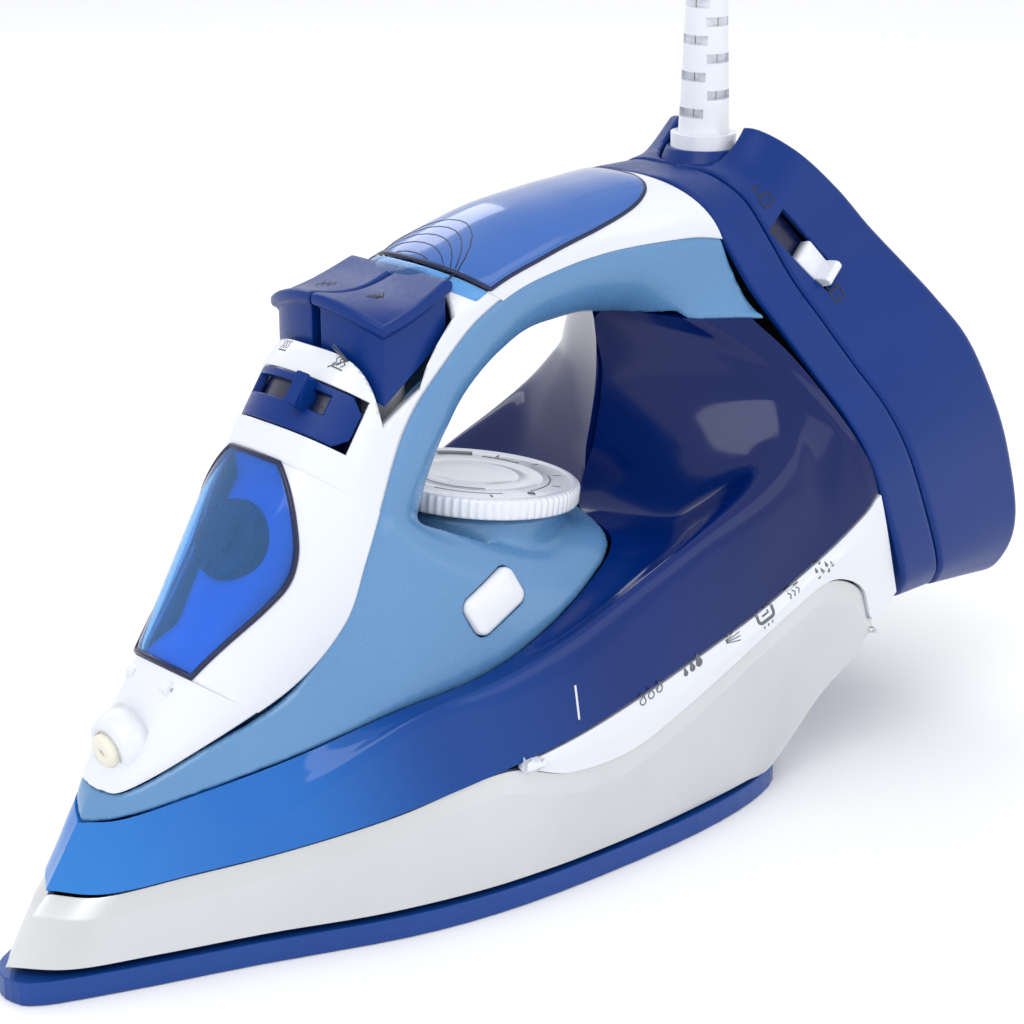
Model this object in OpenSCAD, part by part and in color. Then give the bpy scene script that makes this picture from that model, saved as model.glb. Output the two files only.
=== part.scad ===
// Steam iron with a detachable rear power module, standing on its soleplate.
// Lengths in mm, angles in degrees. +Z is up and the nose points to -X.
// Inside the modules x runs from the nose tip; place() moves the origin to the
// middle of the base. Skins are drawn as one half and mirrored across y = 0.

/* [Body] */
// Overall length from the nose tip to the rear of the heel
body_length = 324; // [320:1:330]
// Thickness of the coated soleplate
sole_t = 6; // [5:0.5:7]
// Wall of the moulded shells
wall = 2; // [1.6:0.1:2.2]

/* [Controls] */
// Diameter of the temperature dial
dial_d = 58.4; // [50:0.2:60]
// Height of the dial rim
dial_h = 5.5; // [4:0.5:6]
// Travel of each thumb button
button_travel = 3; // [2:0.5:3]
// Slope of the dial towards the rear
dial_tilt = 6.9; // [6:0.1:8]

/* [Module] */
// Gap between the collar and the power module
dock_gap = 0.5; // [0.3:0.1:1]
// Travel of the lock slider
lock_travel = 11; // [8:1:11]

/* [Cord] */
// Diameter of the mains cord
cord_d = 7; // [6:0.5:8]
// Diameter of the coil at the middle of its turns
coil_d = 78; // [74:1:84]

/* [Hidden] */
$fn = 48;

WHITE = [0.92, 0.93, 0.95];
SILVER = [0.83, 0.84, 0.84];
LIGHT_BLUE = [0.40, 0.58, 0.75];
NAVY = [0.07, 0.22, 0.52];
TANK_BLUE = [0.10, 0.28, 0.66, 0.7];
LID_BLUE = [0.16, 0.42, 0.82, 0.7];
STEEL = [0.72, 0.72, 0.74];
DARK = [0.10, 0.11, 0.14];
BRASS = [0.80, 0.66, 0.35];

mid_x = body_length / 2;
gap = 0.3;

// ---------- curves and skins ----------

// Catmull-Rom segment from b to c
function spline4(a, b, c, d, f) =
    0.5 * (2*b + (c - a)*f + (2*a - 5*b + 4*c - d)*f*f + (3*b - a - 3*c + d)*f*f*f);
// Smooth curve through the points p, where u counts points
function curve(p, u) =
    let (n = len(p) - 1, i = max(0, min(floor(u), n - 1)))
    spline4(i > 0 ? p[i-1] : 2*p[0] - p[1], p[i], p[i+1],
        i + 2 <= n ? p[i+2] : 2*p[n] - p[n-1], u - i);
// Smooth surface through a net of rows; half widths never go below zero
function net_pt(net, u, v) =
    let (n = len(net) - 1, i = max(0, min(floor(u), n - 1)),
        b = curve(net[i], v), c = curve(net[i+1], v),
        a = i > 0 ? curve(net[i-1], v) : 2*b - c,
        d = i + 2 <= n ? curve(net[i+2], v) : 2*c - b,
        q = spline4(a, b, c, d, u - i))
    [q.x, max(0, q.y), q.z];

// Solid between two grids of points with m + 1 rows of n + 1 points each
module double_grid(outer, inner, m, n, side) {
    k = (m + 1) * (n + 1);
    id = function (i, j) i * (n + 1) + j;
    quads = [
        for (i = [0:m-1]) for (j = [0:n-1]) each [
            [id(i, j), id(i, j+1), id(i+1, j+1), id(i+1, j)],
            [k + id(i, j), k + id(i+1, j), k + id(i+1, j+1), k + id(i, j+1)]],
        for (i = [0:m-1]) each [
            [id(i, 0), id(i+1, 0), k + id(i+1, 0), k + id(i, 0)],
            [id(i+1, n), id(i, n), k + id(i, n), k + id(i+1, n)]],
        for (j = [0:n-1]) each [
            [id(0, j+1), id(0, j), k + id(0, j), k + id(0, j+1)],
            [id(m, j), id(m, j+1), k + id(m, j+1), k + id(m, j)]]];
    tris = [for (q = quads) each side > 0
        ? [[q[0], q[1], q[2]], [q[0], q[2], q[3]]]
        : [[q[0], q[2], q[1]], [q[0], q[3], q[2]]]];
    polyhedron(points = concat(outer, inner), faces = tris, convexity = 8);
}
// Closed sheet of thickness t on one half of the body. f(u, v) gives the outer
// surface, grid holds rows of [u, v], and side is 1 where du x dv points outwards.
module half_sheet(f, grid, t, side = 1) {
    e = 0.04;
    outer = [for (row = grid) for (q = row) f(q[0], q[1])];
    inner = [for (row = grid) for (q = row)
        let (p = f(q[0], q[1]),
            du = f(q[0] + e, q[1]) - f(q[0] - e, q[1]),
            dv = f(q[0], q[1] + e) - f(q[0], q[1] - e),
            c = side * cross(du, dv),
            k = p.y < 0.01 ? [c.x, 0, c.z] : c,
            w = p - t * k / max(norm(k), 1e-9))
        [w.x, p.y < 0.01 ? 0 : max(0.02, w.y), w.z]];
    double_grid(outer, inner, len(grid) - 1, len(grid[0]) - 1, side);
}
module both_sides() {
    children();
    mirror([0, 1, 0]) children();
}
function steps(a, b, n) = [for (i = [0:n]) a + (b - a) * i / n];
function rect_grid(us, vs) = [for (u = us) [for (v = vs) [u, v]]];
module place() translate([-mid_x, 0, 0]) children();
// Frame at a point: local x runs along, local z points out
module at_frame(p, along, out) {
    a = along / norm(along);
    b = cross(out, a) / norm(cross(out, a));
    c = cross(a, b);
    multmatrix([[a.x, b.x, c.x, p.x], [a.y, b.y, c.y, p.y], [a.z, b.z, c.z, p.z], [0, 0, 0, 1]])
        children();
}
// Sector of a disc around the -x direction, from angle a0 to a1
module sector(r, a0, a1, h) linear_extrude(h)
    polygon(concat([[0, 0]], [for (a = steps(a0, a1, 12)) [-r * cos(a), -r * sin(a)]]));

// Round bar along a list of points
module bar_path(pts, d, sides = 8) {
    n = len(pts) - 1;
    rings = [for (i = [0:n])
        let (t = pts[min(i+1, n)] - pts[max(i-1, 0)], w = t / norm(t),
            s = cross(w, abs(w.z) < 0.9 ? [0, 0, 1] : [1, 0, 0]), a = s / norm(s),
            b = cross(w, a))
        each [for (j = [0:sides-1])
            pts[i] + d/2 * (a * cos(360*j/sides) + b * sin(360*j/sides))]];
    faces = concat(
        [[for (j = [0:sides-1]) j]],
        [[for (j = [sides-1:-1:0]) n*sides + j]],
        [for (i = [0:n-1]) for (j = [0:sides-1]) each [
            [i*sides + j, (i+1)*sides + j, i*sides + (j+1) % sides],
            [i*sides + (j+1) % sides, (i+1)*sides + j, (i+1)*sides + (j+1) % sides]]]);
    polyhedron(points = rings, faces = faces, convexity = 6);
}

// ---------- character lines of the body, half widths in y ----------

// Soleplate outline from the nose tip to the middle of the rear edge
sole_line = [[0, 0], [1.1, 5], [5, 8.8], [13, 12.6], [31, 19.9], [54.5, 28.8], [82, 40.5],
    [98, 46.1], [115, 50], [134.6, 52.6], [163, 54.2], [186, 54.2], [204, 52.6], [217, 49.8],
    [226, 46], [231, 40], [234, 30], [235, 15], [235, 0]];

// Lower body, one row per station: skirt bottom, skirt top, tank bottom, shoulder
// crease, trough, top edge of the tank
hull_net = [
    [[0.7, 0, 8.5], [12.6, 0, 23.8], [13.1, 0, 24.4], [17, 0, 30], [20.5, 0, 35], [23.3, 0, 39.2]],
    [[12, 11.4, 8.2], [22, 12.6, 24.2], [22.4, 12.4, 24.8], [26, 11.6, 32], [28, 10.8, 37], [30, 10, 41.5]],
    [[32, 19.6, 8], [43, 20.6, 25.5], [43.3, 20.5, 26], [45, 20, 34], [45.5, 19, 40], [46, 18, 45.5]],
    [[58, 29.6, 8], [65, 30.4, 28], [65.3, 30.3, 28.5], [68, 29.6, 40], [69.5, 27.6, 45.5], [71, 25, 50]],
    [[84, 40.6, 7.8], [90, 40.6, 32.2], [90.2, 40.5, 32.7], [96, 40, 54.5], [95.5, 37, 56.3],
        [95, 32.5, 56.5]],
    [[110, 48, 7.6], [118, 49.6, 38.2], [118.3, 49.5, 39], [121, 46, 60.5], [121, 41.5, 60], [121, 36.5, 60]],
    [[132, 51.4, 7.5], [137, 53, 33.3], [140, 53, 43], [142, 48.5, 66.5], [141, 43.5, 65], [140, 37.8, 66]],
    [[153, 52.8, 7.4], [158, 55, 33.6], [162, 55, 48.5], [165, 51, 76], [163, 44, 73.5], [160, 35.5, 74.5]],
    [[174, 53, 7.3], [180, 56, 41], [184, 56, 54.5], [188, 52.5, 85.5], [184, 41, 80], [178, 26, 80.5]],
    [[193, 52.2, 7.2], [202, 57.2, 50.6], [205, 57, 61], [207, 52.5, 93], [199, 32, 85], [190, 0, 82]],
    [[209, 51, 7.2], [219, 58, 58], [221, 57.7, 67.5], [222, 51.5, 100], [209, 33, 100], [196, 0, 98]],
    [[222, 49, 7.2], [230, 58.6, 62], [234, 58.2, 73], [229.5, 49.5, 106], [216, 31, 113], [199, 0, 118]],
    [[236, 53.5, 25.5], [239, 58.6, 61], [245, 58.5, 78.5], [237, 52.5, 105], [222, 36, 121],
        [197, 0, 135.5]],
    [[247, 56, 35], [248, 58.2, 55.5], [249, 58.6, 81], [240.5, 55, 103], [227, 41, 122], [210, 22, 135.5]],
    [[254.2, 57, 42.6], [254.6, 57.2, 44.5], [251, 58.6, 83], [243, 56, 101.5], [230.5, 43, 122.5],
        [219, 30, 135.5]],
    [[268, 55, 48.5], [268, 55, 49.5], [252.7, 58.8, 84], [245, 57, 100], [234, 45, 123],
        [227.8, 37, 135.5]]];

// Saddle flank from the tank edge up to the white shell or the dial boss
saddle_net = [
    [[23.3, 0, 39.2], [24.8, 0, 41.8], [26.4, 0, 44.4], [28, 0, 46.8]],
    [[30, 10, 41.5], [30.5, 9.7, 43.5], [31, 9.2, 45.5], [31.5, 8.5, 47.6]],
    [[46, 18, 45.5], [46.5, 17.2, 48.5], [47, 16.3, 51.5], [47.5, 15.2, 54.5]],
    [[71, 25, 50], [71.8, 23.6, 55], [72.8, 21.9, 60], [74, 20.2, 65]],
    [[95, 32.5, 56.5], [94, 29.5, 67], [93.2, 26.8, 78.5], [92.8, 25, 90]],
    [[121, 36.5, 60], [116, 32.5, 74], [109, 29, 90], [102, 25.2, 104]],
    [[140, 37.8, 66], [135, 33.5, 77], [129, 29, 88], [120, 22, 97]],
    [[160, 35.5, 74.5], [157, 31.5, 79], [153, 28.5, 82.5], [147, 25.5, 85.5]],
    [[178, 26, 80.5], [175.5, 24, 82.5], [172.5, 21.8, 84], [169, 19.7, 85.5]],
    [[190, 0, 82], [186, 0, 83.8], [182, 0, 85], [178, 0, 85.5]]];

// Front, neck and handle: ridge line, widest line where the two colours part, inner line
loop_rows = [
    [[28, 0, 47.2], [28.3, 2, 46.9], [30, 0, 41]],
    [[30.5, 0, 49.8], [31.5, 8.5, 47.6], [40, 0, 42]],
    [[38.6, 0, 61], [47.5, 15.2, 54.5], [60, 0, 46]],
    [[52, 0, 81], [74, 20.2, 65], [92, 0, 58]],
    [[63.3, 0, 97], [88, 24.2, 79], [113, 0, 80]],
    [[72.3, 0, 110.2], [94.5, 25.2, 94], [121.5, 0, 98]],
    [[79.8, 0, 121.1], [100.5, 24.5, 106], [126.5, 0, 110]],
    [[87, 0, 131.6], [107, 23, 117], [131, 0, 119]],
    [[94.5, 0, 141], [115, 21.5, 127.5], [137, 0, 126]],
    [[104, 0, 147.5], [125, 21, 137], [144, 0, 131.5]],
    [[118, 0, 154.5], [137, 20.3, 146.5], [152, 0, 135]],
    [[137, 0, 163.5], [151, 19.5, 152.5], [161, 0, 137]],
    [[157, 0, 169.5], [168, 19, 155.5], [172, 0, 137.6]],
    [[178, 0, 172], [182, 19, 156.7], [184, 0, 137.8]],
    [[192, 0, 172.8], [193, 20, 157], [197, 0, 136]],
    [[200, 0, 173], [203, 22, 157], [210, 22, 136]],
    [[205.5, 0, 172.6], [211, 25, 157], [219, 30, 136]],
    [[210.5, 0, 172], [218.2, 28.7, 156], [227.8, 37, 136]]];
// Roundness of the section: a lower value is boxier, as under the thumb buttons
function loop_round(t) = lookup(t, [[6, 0.83], [7.4, 0.66], [10, 0.66], [11.6, 0.83]]);

// Point of the loop: q from 0 on the ridge to 1 on the parting line and 2 on the inner line
function loop_pt(t, q) =
    let (o = curve([for (r = loop_rows) r[0]], t), p = curve([for (r = loop_rows) r[1]], t),
        i = curve([for (r = loop_rows) r[2]], t), a = q * 90, k = loop_round(t),
        s = sign(sin(a)) * pow(abs(sin(a)), k),
        c = sign(cos(a)) * pow(abs(cos(a)), k),
        s2 = pow(abs(sin(a - 90)), k), c2 = sign(cos(a - 90)) * pow(abs(cos(a - 90)), k))
    q <= 1
        ? [o.x + (p.x - o.x) * (1 - c), p.y * s, o.z + (p.z - o.z) * (1 - c)]
        : [p.x + (i.x - p.x) * s2, max(0, i.y) + (p.y - max(0, i.y)) * c2,
            p.z + (i.z - p.z) * s2];
hull_pt = function (u, v) net_pt(hull_net, u, v);
saddle_pt = function (u, v) net_pt(saddle_net, u, v);
loop_fn = function (t, q) loop_pt(t, q);

// Half width of the lid, by distance along the ridge from its lower edge
lid_table = [[0, 10.5], [10, 13], [20, 16.5], [30, 19.8], [38, 21.4], [48, 18.8], [56, 14], [62, 8],
    [65, 3]];
lid_from = [45.6, 71.3];
function lid_q(t, extra) =
    let (o = curve([for (r = loop_rows) r[0]], t), w = curve([for (r = loop_rows) r[1]], t).y,
        s = norm([o.x, o.z] - lid_from) * (o.z > lid_from.y ? 1 : -1),
        y = s < -extra || s > 65 + extra ? 0 : lookup(s, lid_table) + extra)
    asin(pow(min(y / w, 0.999), 1 / loop_round(t))) / 90;
// Lower edge of the grip insert, as a share of the ridge-to-parting arc
insert_from = 10.62;
insert_to = 16.2;
function insert_q(t) =
    let (f = (t - insert_from) / (insert_to - insert_from))
    f < 0 || f > 1 ? 0 : 0.86 * pow(1 - pow(f, 2.2), 0.75);
// Upper edge of the white shell: zero where it closes over the ridge
function handle_top_q(t) = max(insert_q(t), lid_q(t, gap));

// Tilted frames of the rear docking plane: x = dock_x + dock_slope * (172 - z)
dock_slope = 0.48;
dock_angle = atan(dock_slope);
collar_x = 210.8;
module_x = 227.2;
// Pear-shaped section across the docking plane: half width and height
pear = [[0, 172], [14, 171.3], [24, 166], [28.8, 156], [33.5, 143], [40.5, 131], [47.5, 119],
    [54.5, 108], [58, 97], [59, 84], [58.2, 60], [55, 50], [47, 44.5], [25, 43], [0, 43]];
function pear_row(x0, grow) = [for (q = pear)
    let (z = 108 + (q[1] - 108) * grow) [x0 + dock_slope * (172 - z), q[0] * grow, z]];
// Puts an outline drawn as [distance down the plane, y] on the docking plane and
// extrudes it by t along x
module on_dock(x0, t) multmatrix([[sin(dock_angle), 0, 1, x0], [0, 1, 0, 0],
    [-cos(dock_angle), 0, 0, 172], [0, 0, 0, 1]]) linear_extrude(t) children();
// Pear outline in docking-plane coordinates, shrunk by d
module pear_2d(d = 0) {
    half = [for (i = [0:len(pear)*3 - 3]) curve(pear, i / 3)];
    scale_y = (59 - d) / 59;
    scale_z = (64.5 - d) / 64.5;
    pts = [for (q = half) [(172 - (107.5 + (q[1] - 107.5) * scale_z)) / cos(dock_angle), q[0] * scale_y]];
    polygon(concat(pts, [for (i = [len(pts)-2:-1:1]) [pts[i][0], -pts[i][1]]]));
}

// Rear edge and rear face of the power module
heel_row = [[246, 0, 178], [244, 14, 182], [252, 24, 176], [263, 30, 165], [274, 33.5, 153],
    [283, 39.5, 142], [290, 46, 132], [299, 52, 119], [307, 56.5, 101], [314, 58, 84],
    [320.6, 58, 62], [322.2, 54, 48], [320.6, 46, 40], [319, 25, 37.5], [318, 0, 37.5]];
function blend_row(a, b, f, dip) = [for (i = [0:len(a)-1])
    let (q = a[i] + (b[i] - a[i]) * f) [q.x, q.y, q.z - (i < 3 ? dip : 0)]];
dock_row = pear_row(module_x + dock_gap, 1.005);
heel_in = [for (q = heel_row) [q.x - 0.5, q.y * 0.945, 108 + (q.z - 108) * 0.955]];
heel_mid = [for (q = heel_in) [q.x + 0.5, q.y * 0.5, q.z]];
heel_axis = [for (q = heel_in) [q.x + 1, 0, q.z]];
module_net = [dock_row, blend_row(dock_row, heel_row, 0.45, 2.5), heel_row];
heel_net = [heel_in, heel_mid, heel_axis];
module_pt = function (u, v) net_pt(module_net, u, v);
heel_pt = function (u, v) net_pt(heel_net, u, v);

// Frames of the front: unit vectors up the ridge and out of it
ridge_up = [0.566, 0, 0.824];
ridge_out = [-0.824, 0, 0.566];
lever_c = [107.8, 0, 119.4];
lever_r = 24.9;
// Moves z to the ridge direction and -x to the outside of the ridge at a point
module on_ridge(p) translate(p) rotate([0, 34.5, 0]) children();

dial_c = [151.9, 0, 98.8];
module on_dial() translate(dial_c) rotate([0, dial_tilt, 0]) children();

// Plan outline of the sole, moved in by d
function sole_half(d) = [for (i = [0:(len(sole_line)-1)*2])
    let (p = curve(sole_line, i/2), a = curve(sole_line, i/2 - 0.05), b = curve(sole_line, i/2 + 0.05),
        t = (b - a) / norm(b - a), n = [t.y, -t.x])
    [p.x + d * n.x, i == 0 || i == (len(sole_line)-1)*2 ? 0 : max(0.05, p.y + d * n.y)]];
module sole_2d(d = 0) {
    half = sole_half(d);
    polygon(concat(half, [for (i = [len(half)-2:-1:1]) [half[i].x, -half[i].y]]));
}

// ---------- base ----------

steam_holes = [for (i = [0:5]) for (s = [-1, 1]) [34 + 19*i, s * (5 + 5.6*i)],
    for (i = [0:3]) for (s = [-1, 1]) [160 + 16*i, s * (36 - 2*i)], [20, 0]];
module soleplate() color(NAVY) place() difference() {
    linear_extrude(sole_t) sole_2d();
    for (p = steam_holes) translate([p.x, p.y, -1]) cylinder(d = 2.6, h = sole_t + 2, $fn = 16);
}
heater_leg_y = 22;
heater_bend_x = 86;
heater_z = 13;
heater_d = 8;
module heater_u(d) translate([heater_bend_x, 0, heater_z]) {
    rotate([0, 0, 90]) rotate_extrude(angle = 180) translate([heater_leg_y, 0]) circle(d = d, $fn = 24);
    for (s = [-1, 1]) translate([0, s * heater_leg_y, 0]) rotate([0, 90, 0])
        cylinder(d = d, h = base_x[1] - heater_bend_x, $fn = 24);
}
base_top = 20;
screw_spots = [[56, 0], [196, -38], [196, 38]];
base_x = [17, 206];
module heating_base() color(STEEL) place() difference() {
    translate([0, 0, sole_t]) linear_extrude(base_top - sole_t) intersection() {
        sole_2d(6.5);
        translate([base_x[0], -60]) square([base_x[1] - base_x[0], 120]);
    }
    heater_u(heater_d);
    for (p = screw_spots) translate([p.x, p.y, 10]) cylinder(d = 3, h = 20, $fn = 20);
    translate([0, 0, base_top - 4]) linear_extrude(6) polygon([[74, 4], [82, 13], [150, 14],
        [150, -14], [82, -13], [74, -4]]);
}
module heating_element() color("dimgray") place() {
    heater_u(heater_d);
    for (s = [-1, 1]) translate([base_x[1], s * heater_leg_y, heater_z]) rotate([0, 90, 0])
        cylinder(d = 3, h = 12, $fn = 16);
}
module steam_chamber_cover() color(STEEL) place() difference() {
    translate([0, 0, base_top]) linear_extrude(1.5)
        polygon([[66, 0], [74, 12], [96, 24], [180, 30], [180, -30], [96, -24], [74, -12]]);
    translate(steam_hose[5] - [0, 0, 3]) cylinder(d = 5, h = 4, $fn = 24);
}
module base_screws() color(STEEL) place() for (p = screw_spots) translate([p.x, p.y, base_top - 10]) {
    cylinder(d = 3, h = 10, $fn = 20);
    translate([0, 0, 10]) difference() {
        cylinder(d = 6.5, h = 2.4, $fn = 24);
        translate([-0.5, -3, 1.4]) cube([1, 6, 2]);
    }
}

// ---------- lower body skins ----------

module heat_skirt() color(SILVER) place() both_sides()
    half_sheet(hull_pt, rect_grid([for (u = [0:0.5:14]) u], steps(0, 1, 4)), 1.6, -1);
module rear_band() color(WHITE) place() both_sides()
    half_sheet(hull_pt, rect_grid([for (u = [5.5:0.5:14.5]) u, 14.9], [1.05, 1.5, 1.98]), 1.5, -1);
// Underside of the tail, between the two skirts
tail_fn = function (u, v) let (p = hull_pt(u, 0)) [p.x, (p.y - 1.9) * (1 - v), p.z];
module tail_cover() color(WHITE) place() both_sides()
    half_sheet(tail_fn, rect_grid(steps(11, 14.9, 6), [0, 0.5, 1]), 1.8, 1);
tank_us = [0, 0.5, 1, 1.5, 2, 2.5, 3, 3.5, 4, 4.5, 5, 5.5, 6, 6.5, 7, 7.5, 8, 8.4, 8.8, 9.2, 9.6, 10,
    10.5, 11, 11.4, 11.8, 12.2, 12.6, 13, 13.5, 14, 14.25];
tank_vs = [2.03, 2.4, 2.8, 3, 3.2, 3.6, 4, 4.4, 4.7, 4.86];
module water_tank() color(TANK_BLUE) place() both_sides()
    half_sheet(hull_pt, rect_grid(tank_us, tank_vs), wall, -1);

// Floor of the tank, from side to side just inside the skin
function floor_pt(u, v) =
    let (p = hull_pt(u, 2), w = max(p.y - 2.6, 0.4)) [p.x + 1.5, w * (1 - v), p.z + 1];
floor_fn = function (u, v) floor_pt(u, v);
module tank_floor() color(TANK_BLUE) place() difference() {
    both_sides() half_sheet(floor_fn, rect_grid([for (u = [0.6:0.8:14.2]) u], [0, 0.5, 1]), 1.6, -1);
    on_dial() translate([0, 0, -70]) cylinder(d = 11.4, h = 60);
    on_ridge(lever_c) translate([0, 0, -112]) cylinder(d = 11.2, h = 30);
    translate(steam_hose[5]) cylinder(d = 5, h = 16, $fn = 24);
    translate([197, -27, 30]) cube([24, 54, 60]);
}

// ---------- upper body skins ----------

module saddle_shell() color(LIGHT_BLUE) place() difference() {
    union() {
        both_sides() half_sheet(saddle_pt,
            rect_grid([for (u = [0:0.5:9]) u], [0.04, 0.7, 1.4, 2.1, 2.9]), wall, -1);
        both_sides() half_sheet(loop_fn,
            rect_grid([for (t = [4.5:0.5:13.5]) t, 13.8, 14, 14.3, 14.6, 15, 15.5, 16, 16.5, 16.88],
                steps(1, 2, 6)), wall, 1);
        on_dial() translate([0, 0, -20]) cylinder(d = 52, h = 14, $fn = 64);
    }
    on_dial() translate([0, 0, -24]) cylinder(d = 47, h = 15.6, $fn = 64);
    on_dial() translate([0, 0, -6]) cylinder(d = dial_d + 1, h = 8, $fn = 64);
    on_dial() translate([0, 0, -30]) cylinder(d = 6.4, h = 60, $fn = 24);
    on_clean() translate([0, 0, -8]) linear_extrude(20) clean_2d(0.35);
}
// Width and angle of the lever's band across the ridge
band_h = 13.4;
band_angle = 54;
// Top of a thumb button: s runs to the rear and t from the middle to the side
button_half = 22.2;
button_front_x = 98.7;
button_rear_x = 128.4;
button_floor = 138;
button_rise = 13.5;
button_sweep = 4.8;
button_skirt = 7;
button_crown = [157.3, 156.9, 156.9, 157.6, 158.9];
function button_pt(s, t, grow) =
    let (x0 = button_front_x + button_sweep*pow(abs(t), 2.6) - grow)
    [x0 + (button_rear_x + grow - x0) * s, (button_half - 2.8*s + grow) * t,
        curve(button_crown, 4*s) - 5.4 * t*t * pow(1 - s, 1.5)];
// Solid under that top, on one side of the middle
module button_solid() {
    rows = [for (s = steps(0, 1, 8)) for (t = steps(0.012, 1, 6)) [s, t]];
    top = [for (q = rows) button_pt(q[0], q[1], 0)];
    bottom = [for (q = rows) let (p = button_pt(q[0], q[1], 0))
        [p.x, p.y, button_floor - 1 + button_rise*q[0] - (button_skirt - 1)*q[1]*q[1]]];
    double_grid(top, bottom, 8, 6, 1);
}
// Opening for both buttons in the shell, its floor clear of their pressed side edges
module button_opening() {
    side_x = button_front_x + button_sweep;
    slope = button_rise / (button_rear_x - side_x);
    outline = concat([for (t = steps(-1, 1, 12)) button_pt(0, t, 0.35)],
        [for (t = [1, -1]) button_pt(1, t, 0.35)]);
    multmatrix([[1, 0, 0, 0], [0, 1, 0, 0],
        [slope, 0, 1, button_floor - button_skirt - gap - button_travel - slope * side_x], [0, 0, 0, 1]])
        linear_extrude(50) polygon([for (q = outline) [q.x, q.y]]);
}
module handle_shell() color(WHITE) place() difference() {
    union() {
        both_sides() half_sheet(loop_fn,
            [for (t = [0, 0.5, 1, 1.5, 2, 2.4, 2.66, 2.9, 3.3, 3.7, 4.1, 4.5, 4.9, 5.3, 5.6, 5.8, 5.97,
                6.1, 6.5, 7, 7.5, 8, 8.5, 9, 9.5, 10, 10.3, 10.62, 10.8, 11.2, 11.7, 12.2, 12.7, 13.2, 13.7,
                14.2, 14.7, 15.2, 15.6, 15.9, 16.2, 16.6, 16.88])
                [for (j = [0:6]) [t, handle_top_q(t) + (0.984 - handle_top_q(t)) * j / 6]]], wall, 1);
        on_nozzle() translate([0, 0, -9]) cylinder(d1 = 18, d2 = 14, h = 7);
    }
    button_opening();
    on_nozzle() translate([0, 0, -30]) cylinder(d = 9.4, h = 40);
    hinge_hollow();
    on_ridge(lever_c - (band_h/2 + 0.4) * ridge_up) difference() {
        sector(40, -band_angle - 1.5, band_angle + 1.5, band_h + 0.8);
        translate([0, 0, -1]) cylinder(r = 21.4, h = band_h + 3);
    }
}
// Room for the lid's lower edge to turn
module hinge_hollow() {
    translate(hinge_c) rotate([90, 0, 0]) cylinder(d = 6.6, h = 11, center = true, $fn = 32);
    for (s = [-1, 1]) translate(hinge_c + [0, s * 10.4, 0]) rotate([90, 0, 0])
        cylinder(d = 6.6, h = 3.2, center = true, $fn = 32);
    translate(hinge_c) rotate([90, 0, 0]) cylinder(d = 2.4, h = 30, center = true, $fn = 24);
    on_ridge(hinge_c) translate([-6, -tongue_y - 0.5, -4]) cube([10, 2*tongue_y + 1, 12]);
}
// Ears that hold the hinge pin, moulded into the shell
module lid_hinge_ears() color(WHITE) place() for (y = [-7, 7]) translate(hinge_c + [0, y, 0])
    rotate([90, 0, 0]) difference() {
        linear_extrude(3, center = true) {
            circle(d = 4.6, $fn = 24);
            translate([-1, -8]) square([6.5, 7]);
        }
        cylinder(d = 2, h = 4, center = true, $fn = 24);
    }
module grip_insert() color(LID_BLUE) place() both_sides()
    half_sheet(loop_fn, [for (t = [10.74, 11.1, 11.6, 12.1, 12.7, 13.3, 13.9, 14.5, 15.1, 15.6, 16])
        [for (j = [0:4]) [t, (insert_q(t) - 0.012) * j / 4]]], wall, 1);

// ---------- controls ----------

module thumb_button(side) color(NAVY) place() scale([1, side, 1]) {
    difference() {
        button_solid();
        translate([104.5, 2.2, 100]) cube([18, 15.8, 54]);
    }
    translate([113, 10, 138]) cylinder(d = 4.6, h = 18, $fn = 24);
}
module spray_button() thumb_button(-1);
module steam_button() thumb_button(1);
module pump(side) color("gainsboro") place() translate([113, 10 * side, 116]) difference() {
    union() {
        cylinder(d = 11, h = 26);
        translate([0, 0, -5]) cylinder(d = 5, h = 6, $fn = 24);
    }
    translate([0, 0, 14]) cylinder(d = 4.8, h = 20, $fn = 24);
}
module spray_pump() pump(-1);
module steam_pump() pump(1);
spray_hose = [[113, -10, 111], [112, -10, 100], [98, -9, 80], [78, -7, 64], [56, -3, 59], [45, 0, 57.8]];
steam_hose = [[113, 10, 111], [112, 12, 98], [100, 14, 74], [90, 14, 52], [84, 9, 36], [84, 9, 22]];
module pump_hoses() color("whitesmoke") place() {
    bar_path(spray_hose, 4, 8);
    bar_path(steam_hose, 4, 8);
}
// Fixed band with the slot that the lever's pointer moves in
module lever_bezel() color(NAVY) place() on_ridge(lever_c - band_h/2 * ridge_up) difference() {
    sector(lever_r, -band_angle, band_angle, band_h);
    translate([0, 0, -1]) cylinder(r = 22.6, h = band_h + 2, $fn = 96);
    translate([0, 0, band_h/2 - 0.4]) sector(40, -34, 34, 5);
}
fin_angle = 20;
module steam_lever() color(NAVY) place() on_ridge(lever_c) {
    rotate([0, 0, fin_angle]) {
        difference() {
            translate([0, 0, -2]) sector(22, -36, 36, 6);
            translate([0, 0, -3]) cylinder(r = 19.6, h = 8);
        }
        translate([-20, -3.5, -1.5]) cube([20, 7, 3]);
        translate([-30.5, -1.6, 0.2]) cube([10, 3.2, 3.8]);
        translate([-31, -1.6, -1.4]) cube([5.8, 3.2, 8]);
    }
    translate([0, 0, -96]) cylinder(d = 5, h = 97.5, $fn = 24);
}
module valve_seat() color("gainsboro") place() on_ridge(lever_c - 109 * ridge_up) difference() {
    cylinder(d = 10.8, h = 18);
    translate([0, 0, 10]) cylinder(d = 5.1, h = 12, $fn = 24);
}
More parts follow.
